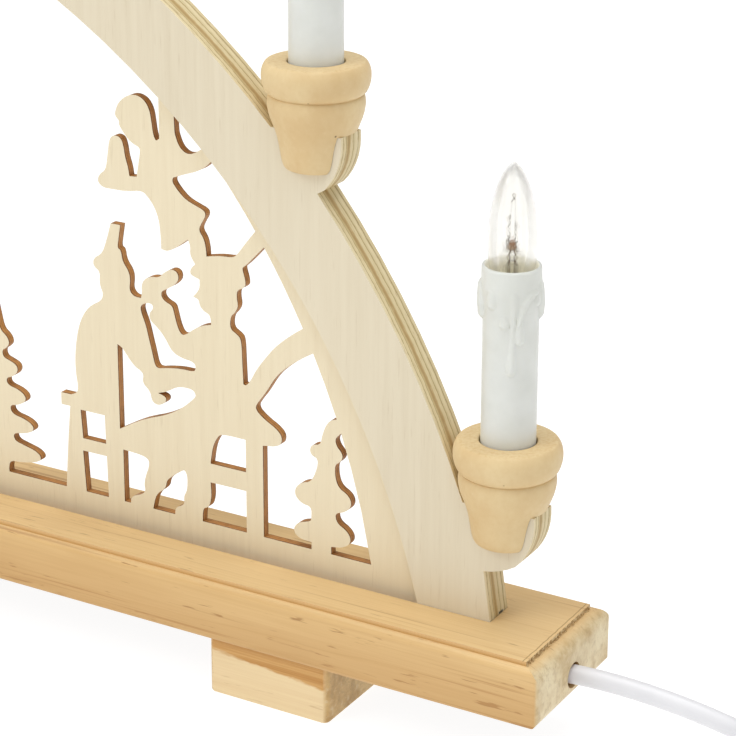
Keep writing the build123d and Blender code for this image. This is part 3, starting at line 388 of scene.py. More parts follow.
def ply(name, y0, t, stops, face="#DAD2BF", seed=0.0, burnt=False):
    """Plywood sheet lying in X-Z: face veneer, and plies on its edges."""
    m = Mat(name, rough=0.55, spec=0.3)
    # upright, very faint grain of the face
    v = m.mapping(scale=(520.0, 60.0, 22.0), loc=(seed, 0, seed))
    g = m.noise(v, scale=1.0, detail=5.0, rough=0.65)
    v3 = m.mapping(scale=(16.0, 8.0, 6.0), loc=(0, seed, 0))
    g3 = m.noise(v3, scale=1.0, detail=3.0, rough=0.5)
    v4 = m.mapping(scale=(1500.0, 100.0, 90.0), loc=(seed, 5, 0))
    g4 = m.noise(v4, scale=1.0, detail=2.0, rough=0.5)
    dark = tuple(x * k for x, k in zip(col(face)[:3], (0.9, 0.875, 0.84)))
    lite = tuple(min(1.0, x * 1.05) for x in col(face)[:3])
    f = m.mix(m.fac_ramp(g, 0.35, 0.7, 0.0, 0.6), face, dark)
    f = m.mix(m.fac_ramp(g3, 0.35, 0.7, 0.0, 0.6), f, lite)
    f = m.mix(m.fac_ramp(g4, 0.64, 0.74, 0.0, 0.16), f, "#B29C76")
    # plies
    yy = m.xyz(m.obj)[1]
    wv = m.noise(m.mapping(scale=(60.0, 60.0, 60.0), loc=(seed, 1, 2)), scale=1.0, detail=3.0)
    wv2 = m.noise(m.mapping(scale=(420.0, 700.0, 420.0), loc=(seed, 3, 2)), scale=1.0, detail=4.0, rough=0.65)
    tt = m.math("MULTIPLY", m.math("SUBTRACT", yy, y0 * MM), 1000.0 / t)
    tt = m.math("ADD", tt, m.math("MULTIPLY", m.math("SUBTRACT", wv, 0.5), 0.14))
    tt = m.math("ADD", tt, m.math("MULTIPLY", m.math("SUBTRACT", wv2, 0.5), 0.3))
    e = m.ramp(tt, stops)
    fibre = m.noise(m.mapping(scale=(260.0, 1800.0, 260.0), loc=(seed, 0, 0)), scale=1.0, detail=4.0, rough=0.65)
    e = m.mix(m.fac_ramp(fibre, 0.42, 0.66, 0.0, 0.25), e, "#BFA672")
    e = m.mix(m.fac_ramp(fibre, 0.6, 0.72, 0.0, 0.42), e, "#86693A")
    e = m.mix(m.fac_ramp(fibre, 0.26, 0.4, 0.5, 0.0), e, "#EFE2BE")
    if burnt:
        # cut by a hot beam inside the window
        pz = m.xyz(m.obj)
        dx = m.math("POWER", pz[0], 2.0)
        dz = m.math("POWER", m.math("SUBTRACT", pz[2], 0.0032), 2.0)
        d = m.math("SQRT", m.math("ADD", dx, dz))
        inside = m.math("LESS_THAN", d, 0.2334)
        rag = m.noise(m.mapping(scale=(420.0, 800.0, 420.0)), scale=1.0, detail=4.0, rough=0.6)
        bt = m.math("ADD", tt, m.math("MULTIPLY", m.math("SUBTRACT", rag, 0.5), 0.3))
        burn = m.ramp(bt, [(0.0, "#6A4420"), (0.12, "#8A5A2A"), (0.28, "#C08A4E"), (0.5, "#A8713A"), (0.75, "#BC8547"),
                           (1.0, "#855628")])
        burn = m.mix(m.fac_ramp(rag, 0.5, 0.72, 0.0, 0.5), burn, "#643D1C")
        e = m.mix(inside, e, burn)
    ny = m.math("ABSOLUTE", m.xyz(m.nrm)[1])
    fac = m.fac_ramp(ny, 0.6, 0.8)
    m.color(m.mix(fac, e, f))
    h = m.math("ADD", m.math("MULTIPLY", g, 0.4), m.math("MULTIPLY", fibre, m.math("SUBTRACT", 1.0, fac)))
    m.normal(m.bump(h, 0.22, 0.0004))
    m.rough(m.fac_ramp(g, 0.3, 0.7, 0.48, 0.62))
    return m


front_ring_mat = ply("ply_front_ring", -5.25, 3.0,
                     [(0.0, "#E8DAB6"), (0.36, "#E2D2AA"), (0.43, "#A38B5C"), (0.5, "#DCCB9F"), (0.86, "#DFCFA4"),
                      (0.94, "#AF986A"), (1.0, "#B7A272")], face="#DFD4BB", seed=0.0)
panel_mat = ply("ply_panel", -2.25, 2.5,
                [(0.0, "#D3C094"), (0.18, "#C2A976"), (0.42, "#AC8F5C"), (0.68, "#BDA06B"), (0.88, "#D8C79C"), (1.0, "#DECEA6")],
                face="#E9DCBE", seed=4.0, burnt=True)
band_mat = ply("ply_band", 0.25, 2.5,
               [(0.0, "#D9C89C"), (0.36, "#DCCCA2"), (0.48, "#A58B57"), (0.6, "#D8C89C"), (1.0, "#E2D3AC")],
               face="#DCCBA4", seed=8.0)
back_ring_mat = ply("ply_back_ring", 2.75, 2.5,
                    [(0.0, "#E6D8B2"), (0.3, "#D9C99E"), (0.42, "#907545"), (0.52, "#D2C194"), (0.85, "#E0D1A9"), (1.0, "#C6B283")],
                    face="#DFD4BB", seed=12.0)


def turned_wood(name, seed=0.0):
    m = Mat(name, rough=0.52, spec=0.32)
    soft = m.noise(m.mapping(scale=(70.0, 70.0, 45.0), loc=(seed, seed, 0)), scale=1.0, detail=4.0, rough=0.55)
    fine = m.noise(m.mapping(loc=(seed, 0, 0)), scale=650.0, detail=4.0, rough=0.6)
    c = m.mix(m.fac_ramp(soft, 0.36, 0.66), "#E2CB9D", "#D7BA89")
    c = m.mix(m.fac_ramp(fine, 0.48, 0.72, 0.0, 0.12), c, "#C9A772")
    c = m.mix(m.fac_ramp(fine, 0.25, 0.42, 0.1, 0.0), c, "#F2E0BA")
    turning = m.noise(m.mapping(scale=(3.0, 3.0, 1500.0)), scale=1.0, detail=2.0)
    dots = m.voronoi(m.mapping(loc=(seed, 0, 0)), scale=125.0)
    spots = m.fac_ramp(dots, 0.03, 0.055, 0.8, 0.0)
    c = m.mix(spots, c, "#5F431F")
    # end grain on the flat top
    nz = m.fac_ramp(m.xyz(m.nrm)[2], 0.75, 0.97)
    eg = m.noise(m.obj, scale=900.0, detail=4.0, rough=0.6)
    egc = m.mix(m.fac_ramp(eg, 0.4, 0.68), "#E6D1A4", "#D0AE78")
    c = m.mix(m.math("MULTIPLY", nz, 0.4), c, egc)
    m.color(c)
    h = m.math("ADD", m.math("MULTIPLY", fine, 0.3), m.math("MULTIPLY", turning, 0.12))
    m.normal(m.bump(h, 0.1, 0.0004))
    m.rough(m.fac_ramp(fine, 0.3, 0.7, 0.44, 0.58))
    return m


cup_mats = [turned_wood("turned_cup_%d" % (i + 1), seed=3.1 * i) for i in range(7)]


def wax(name, painted_glow=0.0):
    m = Mat(name, rough=0.38, spec=0.5)
    if painted_glow:
        # painted light: the wax glows, standing in for light coming through the sleeve's walls
        m.b.inputs["Emission Color"].default_value = (0.74, 0.66, 0.48, 1.0)
        m.b.inputs["Emission Strength"].default_value = painted_glow
    n1 = m.noise(m.obj, scale=130.0, detail=3.0, rough=0.5)
    c = m.mix(m.fac_ramp(n1, 0.35, 0.7), "#DEE0DA", "#D7D9D2")
    n2 = m.noise(m.obj, scale=900.0, detail=2.0, rough=0.5)
    c = m.mix(m.fac_ramp(n2, 0.7, 0.8, 0.0, 0.25), c, "#C9C6B8")
    m.color(c)
    m.b.inputs["Subsurface Weight"].default_value = 0.12
    m.b.inputs["Subsurface Radius"].default_value = (0.004, 0.0038, 0.003)
    m.b.inputs["Subsurface Scale"].default_value = 0.5
    m.b.inputs["Coat Weight"].default_value = 0.15
    m.normal(m.bump(n1, 0.06, 0.0006))
    m.rough(m.fac_ramp(n2, 0.3, 0.7, 0.32, 0.44))
    return m


wax_mat = wax("sleeve_wax")
wax_in_mat = wax("sleeve_inside", painted_glow=0.33)


def plastic(name, c1, c2, rough=0.4, scale=500.0, spec=0.5, coat=0.0):
    m = Mat(name, rough=rough, spec=spec)
    n1 = m.noise(m.obj, scale=scale, detail=3.0, rough=0.55)
    n2 = m.noise(m.obj, scale=45.0, detail=2.0, rough=0.5)
    c = m.mix(m.fac_ramp(n2, 0.35, 0.7), c1, c2)
    m.color(c)
    m.b.inputs["Coat Weight"].default_value = coat
    m.normal(m.bump(n1, 0.05, 0.0004))
    m.rough(m.fac_ramp(n1, 0.3, 0.7, rough - 0.05, rough + 0.08))
    return m


lead_mat = plastic("lead_pvc", "#E6E6E9", "#DEDEE2", rough=0.33, coat=0.2)
plug_mat = plastic("plug_pvc", "#EDEDEE", "#E3E3E5", rough=0.4)
tie_mat = plastic("tie_nylon", "#D6D6D8", "#C4C4C8", rough=0.5, scale=1500.0)
holder_mat = plastic("holder_moulding", "#E8E6DD", "#DCD9CC", rough=0.45)
block_mat = plastic("block_moulding", "#DEDEDA", "#CFCFCA", rough=0.45)
wire_mat = plastic("wire_pvc", "#E2E2DC", "#D6D6CF", rough=0.35, coat=0.2)


def metal(name, c1, c2, rough=0.3, along_axis=2):
    m = Mat(name, rough=rough)
    s = [900.0, 900.0, 900.0]
    s[along_axis] = 60.0
    g = m.noise(m.mapping(scale=tuple(s)), scale=1.0, detail=3.0, rough=0.6)
    t = m.noise(m.obj, scale=300.0, detail=3.0, rough=0.5)
    c = m.mix(m.fac_ramp(t, 0.35, 0.7), c1, c2)
    m.color(c)
    m.b.inputs["Metallic"].default_value = 1.0
    m.rough(m.fac_ramp(g, 0.3, 0.7, rough - 0.08, rough + 0.12))
    m.normal(m.bump(g, 0.08, 0.0003))
    return m


brass_mat = metal("thread_brass", "#D8BE84", "#C2A363", 0.28)
nickel_mat = metal("cap_nickel", "#D9D2BF", "#BDB49C", 0.25)
steel_mat = metal("screw_zinc", "#C9C9C4", "#AFAFAA", 0.35)
pin_mat = metal("pin_nickel", "#D5D3CB", "#BEBBB0", 0.22)


def hardboard(name):
    m = Mat(name, rough=0.7, spec=0.3)
    g = m.noise(m.mapping(scale=(90.0, 700.0, 700.0)), scale=1.0, detail=5.0, rough=0.7)
    c = m.mix(m.fac_ramp(g, 0.3, 0.7), "#4A3626", "#6B4E34")
    s = m.noise(m.obj, scale=1500.0, detail=2.0)
    c = m.mix(m.fac_ramp(s, 0.6, 0.75, 0.0, 0.5), c, "#2E2015")
    m.color(c)
    m.normal(m.bump(g, 0.3, 0.0004))
    m.rough(m.fac_ramp(g, 0.3, 0.7, 0.6, 0.8))
    return m


hard_mat = hardboard("hardboard")


def glass(name, alpha=1.0):
    m = Mat(name, rough=0.0, spec=0.5)
    n1 = m.noise(m.mapping(scale=(1.0, 1.0, 0.12)), scale=420.0, detail=2.0, rough=0.5)
    c = m.mix(m.fac_ramp(n1, 0.3, 0.7), "#F8F6F0", "#F1EFE6")
    # painted reflection: the colour darkens where the glass is seen edge on, standing in for dark surroundings
    # mirrored in the rims
    lw = m.node("ShaderNodeLayerWeight")
    lw.inputs["Blend"].default_value = 0.5
    c = m.mix(m.fac_ramp(lw.outputs["Facing"], 0.93, 0.99, 0.0, 0.9), c, "#747A6C")
    m.color(c)
    m.b.inputs["Transmission Weight"].default_value = 1.0
    m.b.inputs["IOR"].default_value = 1.47
    m.b.inputs["Alpha"].default_value = alpha
    m.normal(m.bump(n1, 0.12, 0.0005))
    m.rough(m.fac_ramp(n1, 0.3, 0.7, 0.0, 0.02))
    return m


glass_mat = glass("lamp_glass", alpha=0.42)
stem_mat = glass("stem_glass", alpha=0.6)


def filament(name):
    m = Mat(name, rough=0.4)
    g = m.noise(m.obj, scale=3000.0, detail=3.0)
    m.color(m.mix(m.fac_ramp(g, 0.3, 0.7), "#5C4A38", "#80694E"))
    m.b.inputs["Metallic"].default_value = 0.7
    m.rough(m.fac_ramp(g, 0.3, 0.7, 0.3, 0.5))
    m.normal(m.bump(g, 0.1, 0.0001))
    return m


fil_mat = filament("filament_wire")
# screw heads under the board: browned steel, darkened further as painted shade where they sit in shadow
browned_shaded_steel_mat = metal("screw_browned_shaded", "#3A2E24", "#241C16", 0.45)


def bead(name):
    m = Mat(name, rough=0.25)
    g = m.noise(m.obj, scale=1500.0, detail=3.0)
    m.color(m.mix(m.fac_ramp(g, 0.3, 0.7), "#B98E66", "#8F6440"))
    m.b.inputs["Transmission Weight"].default_value = 0.25
    m.rough(m.fac_ramp(g, 0.3, 0.7, 0.2, 0.35))
    m.normal(m.bump(g, 0.15, 0.0002))
    return m


bead_mat = bead("glass_bead")


# ------------------------------------------------------------- carried-over CAD
def dress(node, mat):
    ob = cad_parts[node]
    ob.data.materials.clear()
    ob.data.materials.append(mat.m)
    return ob


dress("base_board", base_mat)
dress("base_cover", hard_mat)
dress("foot_left", foot_mat)
dress("foot_right", foot_mat)
dress("arch_front_ring", front_ring_mat)
dress("arch_back_ring", back_ring_mat)
dress("fretwork_panel", panel_mat)
dress("channel_inner_band", band_mat)
dress("channel_outer_bands", band_mat)
for n in ("foot_screws", "clamp_screws"):
    dress(n, steel_mat)
dress("cover_screws", browned_shaded_steel_mat)
for n in ("holder_shells", "holder_contacts"):
    dress(n, brass_mat)
dress("arch_wiring", wire_mat)
dress("terminal_block", block_mat)
dress("cord_clamp", block_mat)
dress("mains_plug", plug_mat)
dress("plug_pins", pin_mat)
dress("cord_tie", tie_mat)
lead.data.materials.append(lead_mat.m)


# ------------------------------------------------------------------ mesh helpers
def smooth_profile(pts, n=2, keep_ends=True):
    """Corner cutting on an open (radius, height) line."""
    cur = [Vector((a, b)) for a, b in pts]
    for _ in range(n):
        nxt = [cur[0]]
        for a, b in zip(cur, cur[1:]):
            nxt.append(a * 0.75 + b * 0.25)
            nxt.append(a * 0.25 + b * 0.75)
        nxt.append(cur[-1])
        cur = nxt
    return [(v.x, v.y) for v in cur]


def lathe(name, prof, x, z, segs=96, closed=True, mat=None, sharp=35.0, disp=None):
    """Mesh turned about a vertical axis from (radius, height) points in mm."""
    bm = bmesh.new()
    rings = []
    for r, h in prof:
        if r < 1e-6:
            rings.append([bm.verts.new((x * MM, 0.0, (z + h) * MM))])
            continue
        ring = []
        for i in range(segs):
            a = 2 * math.pi * i / segs
            rr = r + (disp(a, h, r) if disp else 0.0)
            ring.append(bm.verts.new(((x + rr * math.cos(a)) * MM, rr * math.sin(a) * MM, (z + h) * MM)))
        rings.append(ring)
    pairs = list(zip(rings, rings[1:]))
    if closed:
        pairs.append((rings[-1], rings[0]))
    for a, b in pairs:
        if len(a) == 1 and len(b) == 1:
            continue
        for i in range(segs):
            j = (i + 1) % segs
            if len(a) == 1:
                bm.faces.new((a[0], b[j], b[i]))
            elif len(b) == 1:
                bm.faces.new((a[i], a[j], b[0]))
            else:
                bm.faces.new((a[i], a[j], b[j], b[i]))
    bmesh.ops.recalc_face_normals(bm, faces=bm.faces)
    me = bpy.data.meshes.new(name)
    bm.to_mesh(me)
    bm.free()
    for p_ in me.polygons:
        p_.use_smooth = True
    me.set_sharp_from_angle(angle=math.radians(sharp))
    if mat:
        me.materials.append(mat.m)
    return link(bpy.data.objects.new(name, me))


def apply_modifiers(ob):
    dg = bpy.context.evaluated_depsgraph_get()
    me = bpy.data.meshes.new_from_object(ob.evaluated_get(dg))
    old = ob.data
    ob.modifiers.clear()
    ob.data = me
    bpy.data.meshes.remove(old)


def tube(name, pts, r, mat, seg=8, closed=False):
    """Thin wire through points in mm."""
    cu_ = bpy.data.curves.new(name, "CURVE")
    cu_.dimensions = "3D"
    s = cu_.splines.new("POLY")
    s.points.add(len(pts) - 1)
    for q, w in zip(s.points, pts):
        q.co = (w[0] * MM, w[1] * MM, w[2] * MM, 1.0)
    s.use_cyclic_u = closed
    cu_.bevel_depth = r * MM
    cu_.bevel_resolution = seg // 4
    cu_.use_fill_caps = True
    ob = bpy.data.objects.new(name + "_c", cu_)
    link(ob)
    bpy.context.view_layer.update()
    me = bpy.data.meshes.new_from_object(ob.evaluated_get(bpy.context.evaluated_depsgraph_get()))
    bpy.data.objects.remove(ob)
    for p_ in me.polygons:
        p_.use_smooth = True
    me.materials.clear()
    me.materials.append(mat.m)
    return link(bpy.data.objects.new(name, me))


# ------------------------------------------------------------------------- cups
CUP_TOP = [(8.25, 0.0), (12.6, 0.0), (13.35, -0.08), (13.75, -0.32), (14.2, -0.95), (14.65, -2.0), (14.88, -3.4),
           (14.82, -5.0), (14.5, -6.5), (14.0, -7.8), (13.35, -8.6), (12.75, -8.88), (12.62, -9.05), (12.95, -9.25),
           (13.3, -10.2), (13.4, -11.6), (13.2, -13.2),
           (12.7, -15.2), (12.0, -17.0), (11.3, -18.8), (10.75, -20.6), (10.3, -22.6), (9.95, -24.8), (9.6, -27.0),
           (9.2, -28.6), (8.6, -29.6), (7.6, -30.0), (5.0, -30.0)]


def cutter(name, verts_mm, faces):
    me = bpy.data.meshes.new(name)
    me.from_pydata([tuple(c * MM for c in v) for v in verts_mm], [], faces)
    me.update()
    return link(bpy.data.objects.new(name, me))


def cup(i):
    x, zs = SEATS[i]
    rim = zs + SEAT_BELOW
    outer = smooth_profile(CUP_TOP, 2)
    prof = [(2.8, -30.0), (2.8, -12.0), (7.9, -12.0), (7.9, -6.0), (7.9, -0.5), (7.98, -0.18)] + outer
    ob = lathe("cup_%d" % (i + 1), prof, x, rim, segs=112, mat=cup_mats[i], sharp=40.0)
    # slot for the bow
    y = SLOT_W / 2
    x0, x1, z0, z1 = x - 30, x + 30, rim - 40, rim - SEAT_BELOW
    box_ = cutter("cut_a", [(x0, -y, z0), (x1, -y, z0), (x1, y, z0), (x0, y, z0), (x0, -y, z1), (x1, -y, z1), (x1, y, z1),
                            (x0, y, z1)],
                  [(3, 2, 1, 0), (4, 5, 6, 7), (0, 1, 5, 4), (1, 2, 6, 5), (2, 3, 7, 6), (3, 0, 4, 7)])
    md = ob.modifiers.new("slot", "BOOLEAN")
    md.operation, md.object, md.solver = "DIFFERENCE", box_, "EXACT"
    n = 180
    R = ARCH_RO + 0.3
    vs, fs = [], []
    for k in range(n):
        a = 2 * math.pi * k / n
        vs.append((R * math.cos(a), -y, ARCH_ZC + R * math.sin(a)))
    for k in range(n):
        a = 2 * math.pi * k / n
        vs.append((R * math.cos(a), y, ARCH_ZC + R * math.sin(a)))
    fs.append(tuple(range(n)))
    fs.append(tuple(reversed(range(n, 2 * n))))
    for k in range(n):
        j = (k + 1) % n
        fs.append((j, k, n + k, n + j))
    disc = cutter("cut_b", vs, fs)
    md2 = ob.modifiers.new("relief", "BOOLEAN")
    md2.operation, md2.object, md2.solver = "DIFFERENCE", disc, "EXACT"
    bpy.context.view_layer.update()
    apply_modifiers(ob)
    for c in (box_, disc):
        me = c.data
        bpy.data.objects.remove(c)
        bpy.data.meshes.remove(me)
    ob.data.set_sharp_from_angle(angle=math.radians(40))
    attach(ob, "arch")
    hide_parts("candle_cup_%d" % (i + 1))
    return ob


# ---------------------------------------------------------------------- sleeves
def smin(d, k):
    return d


def drip_field(drips):
    """Radius added by wax runs: each drip is a list of (angle deg, height, width, thickness)."""
    def f(a, h, r):
        if r < 7.2:
            return 0.0
        add = 0.0
        for run in drips:
            best = 0.0
            for (a0_, h0_, w0_, t0_), (a1_, h1_, w1_, t1_) in zip(run, run[1:]):
                # nearest point of this piece of the run, on the unrolled sleeve
                x0_, x1_ = math.radians(a0_) * 7.5, math.radians(a1_) * 7.5
                px = a * 7.5
                dxx, dyy = x1_ - x0_, h1_ - h0_
                for wrap in (-2 * math.pi * 7.5, 0.0, 2 * math.pi * 7.5):
                    qx = px + wrap - x0_
                    qy = h - h0_
                    L = dxx * dxx + dyy * dyy
                    t = max(0.0, min(1.0, (qx * dxx + qy * dyy) / L)) if L > 0 else 0.0
                    ex, ey = qx - t * dxx, qy - t * dyy
                    w = w0_ + (w1_ - w0_) * t
                    th = t0_ + (t1_ - t0_) * t
                    d = math.sqrt(ex * ex + ey * ey) / w
                    if d < 1.0:
                        v = th * (math.sqrt(1 - d * d) * 0.65 + (1 - d * d) ** 2 * 0.35)
                        best = max(best, v)
            add = (add ** 2 + best ** 2) ** 0.5 if add > 0 and best > 0 else max(add, best)
        return add
    return f


def sleeve(i):
    x, zs = SEATS[i]
    rim = zs + SEAT_BELOW
    r = random.Random(100 + i)
    top = 49.4
    # angles: 0 is +X, -90 is the front; the lamp of the photo faces about -60
    if i == 0:
        shift = 0.0
    else:
        shift = r.uniform(0, 360)
    runs = [
        # long central run ending in a heavy drop
        [(-57, top - 6.5, 1.0, 0.25), (-58, top - 14, 0.75, 0.45), (-60, top - 22, 0.8, 0.5), (-61, top - 26.2, 1.45, 1.0),
         (-61, top - 27.4, 1.35, 0.95)],
        # run that sweeps in from the right
        [(-12, top - 6.0, 0.8, 0.5), (-25, top - 6.6, 0.8, 0.5), (-38, top - 9.0, 0.8, 0.5), (-44, top - 13.0, 0.8, 0.55),
         (-45, top - 17.5, 1.5, 0.95), (-45, top - 18.8, 1.35, 0.9)],
        # side drops
        [(25, top - 5.5, 1.3, 0.5), (24, top - 10.5, 1.9, 1.4), (24, top - 13.0, 1.7, 1.25)],
        [(4, top - 5.0, 1.2, 0.4), (2, top - 9.0, 1.5, 0.9)],
        [(208, top - 5.5, 1.6, 0.8), (209, top - 10.5, 2.1, 1.45), (210, top - 13.2, 1.8, 1.3)],
        [(-104, top - 6.5, 1.3, 0.35), (-106, top - 9.4, 1.6, 0.85)],
        [(-77, top - 13.0, 1.0, 0.3), (-76, top - 14.6, 1.4, 0.75)],
        # back of the sleeve
        [(95, top - 5.0, 1.2, 0.4), (96, top - 16.0, 0.9, 0.5), (96, top - 21.0, 1.4, 1.0)],
        [(140, top - 5.0, 1.4, 0.5), (141, top - 11.0, 1.7, 1.1)],
        [(60, top - 5.0, 1.2, 0.4), (58, top - 8.5, 1.6, 0.9)],
        [(175, top - 5.5, 1.1, 0.4), (174, top - 17.0, 1.3, 0.9)],
    ]
    if shift:
        runs = [[(a + shift, h + dh, w, t) for a, h, w, t in run] for run, dh in zip(runs, [r.uniform(-2.5, 2.5) for _ in runs])]
    f = drip_field(runs)

    def sheet(h):
        k = max(0.0, min(1.0, (h - (top - 12.5)) / 7.0))
        return 0.55 * k * k * (3 - 2 * k)

    def disp(a, h, rr):
        # a is 0..2pi; runs use degrees from -180 to 180
        v = f(a, h, rr)
        if rr > 7.2 and h > top - 19:
            # the wax sheet ends in a round bay beside the long run
            u = (math.degrees(a) - shift + 540.0) % 360.0 - 180.0
            if -54.0 < u < 26.0:
                q = (u + 54.0) / 80.0
                bay = top - 5.4 - 11.5 * (1.0 - q) ** 2.4
                e = max(0.0, min(1.0, (h - bay) / 0.55))
                e = e * e * (3 - 2 * e)
                side = min(1.0, (26.0 - u) / 10.0, (u + 54.0) / 5.0)
                lip = 0.42 * e * math.exp(-max(0.0, h - bay) / 2.2) * side
                v += lip - sheet(h) * (1.0 - e) * side
        if rr > 7.2 and h > top - 11:
            # slightly uneven wax collar
            n_ = noise.noise(Vector((math.cos(a) * 1.6 + i * 3, math.sin(a) * 1.6, h * 0.12)))
            v += 0.12 * n_ * min(1.0, (h - (top - 11)) / 3.0) * (1.0 if h < top - 0.8 else 0.3)
        return v

    ro = 7.5
    prof = [(6.95, -12.0), (ro, -12.0)]
    h = -8.0
    while h < 18.0:
        prof.append((ro, h))
        h += 4.0
    hs = [18.0 + 0.28 * k for k in range(int((top - 1.0 - 18.0) / 0.28))]
    for h in hs:
        # collar swells gently a centimetre below the top
        k = max(0.0, min(1.0, (h - (top - 12.5)) / 7.0))
        k = k * k * (3 - 2 * k)
        prof.append((ro + 0.55 * k, h))
    prof += [(8.06, top - 0.9), (8.0, top - 0.5), (7.85, top - 0.18), (7.6, top), (7.25, top - 0.02), (7.0, top - 0.2),
             (6.88, top - 0.6), (6.86, top - 3.0), (6.95, top - 5.0), (6.95, 20.0)]
    ob = lathe("sleeve_%d" % (i + 1), prof, x, rim, segs=160, mat=wax_mat, disp=disp, sharp=50.0)
    # the inside of the mouth gets the wax with painted glow
    ob.data.materials.append(wax_in_mat.m)
    for poly in ob.data.polygons:
        c_ = poly.center
        if math.hypot(c_.x - x * MM, c_.y) < 7.15 * MM and c_.z > (rim + top - 30.0) * MM:
            poly.material_index = 1
    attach(ob, "sleeve_%d" % (i + 1))
    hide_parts("candle_sleeve_%d" % (i + 1))
    return ob


# ------------------------------------------------------------------------ lamps
GLASS_OUT = [(3.85, 39.9), (3.85, 41.3), (4.25, 42.3), (4.95, 44.2), (5.75, 46.8), (6.3, 49.6), (6.58, 52.8), (6.65, 56.0),
             (6.6, 59.4), (6.3, 63.0), (5.7, 66.4), (4.85, 69.6), (3.8, 72.4), (2.6, 74.8), (1.5, 76.3), (0.7, 77.1),
             (0.0, 77.3)]


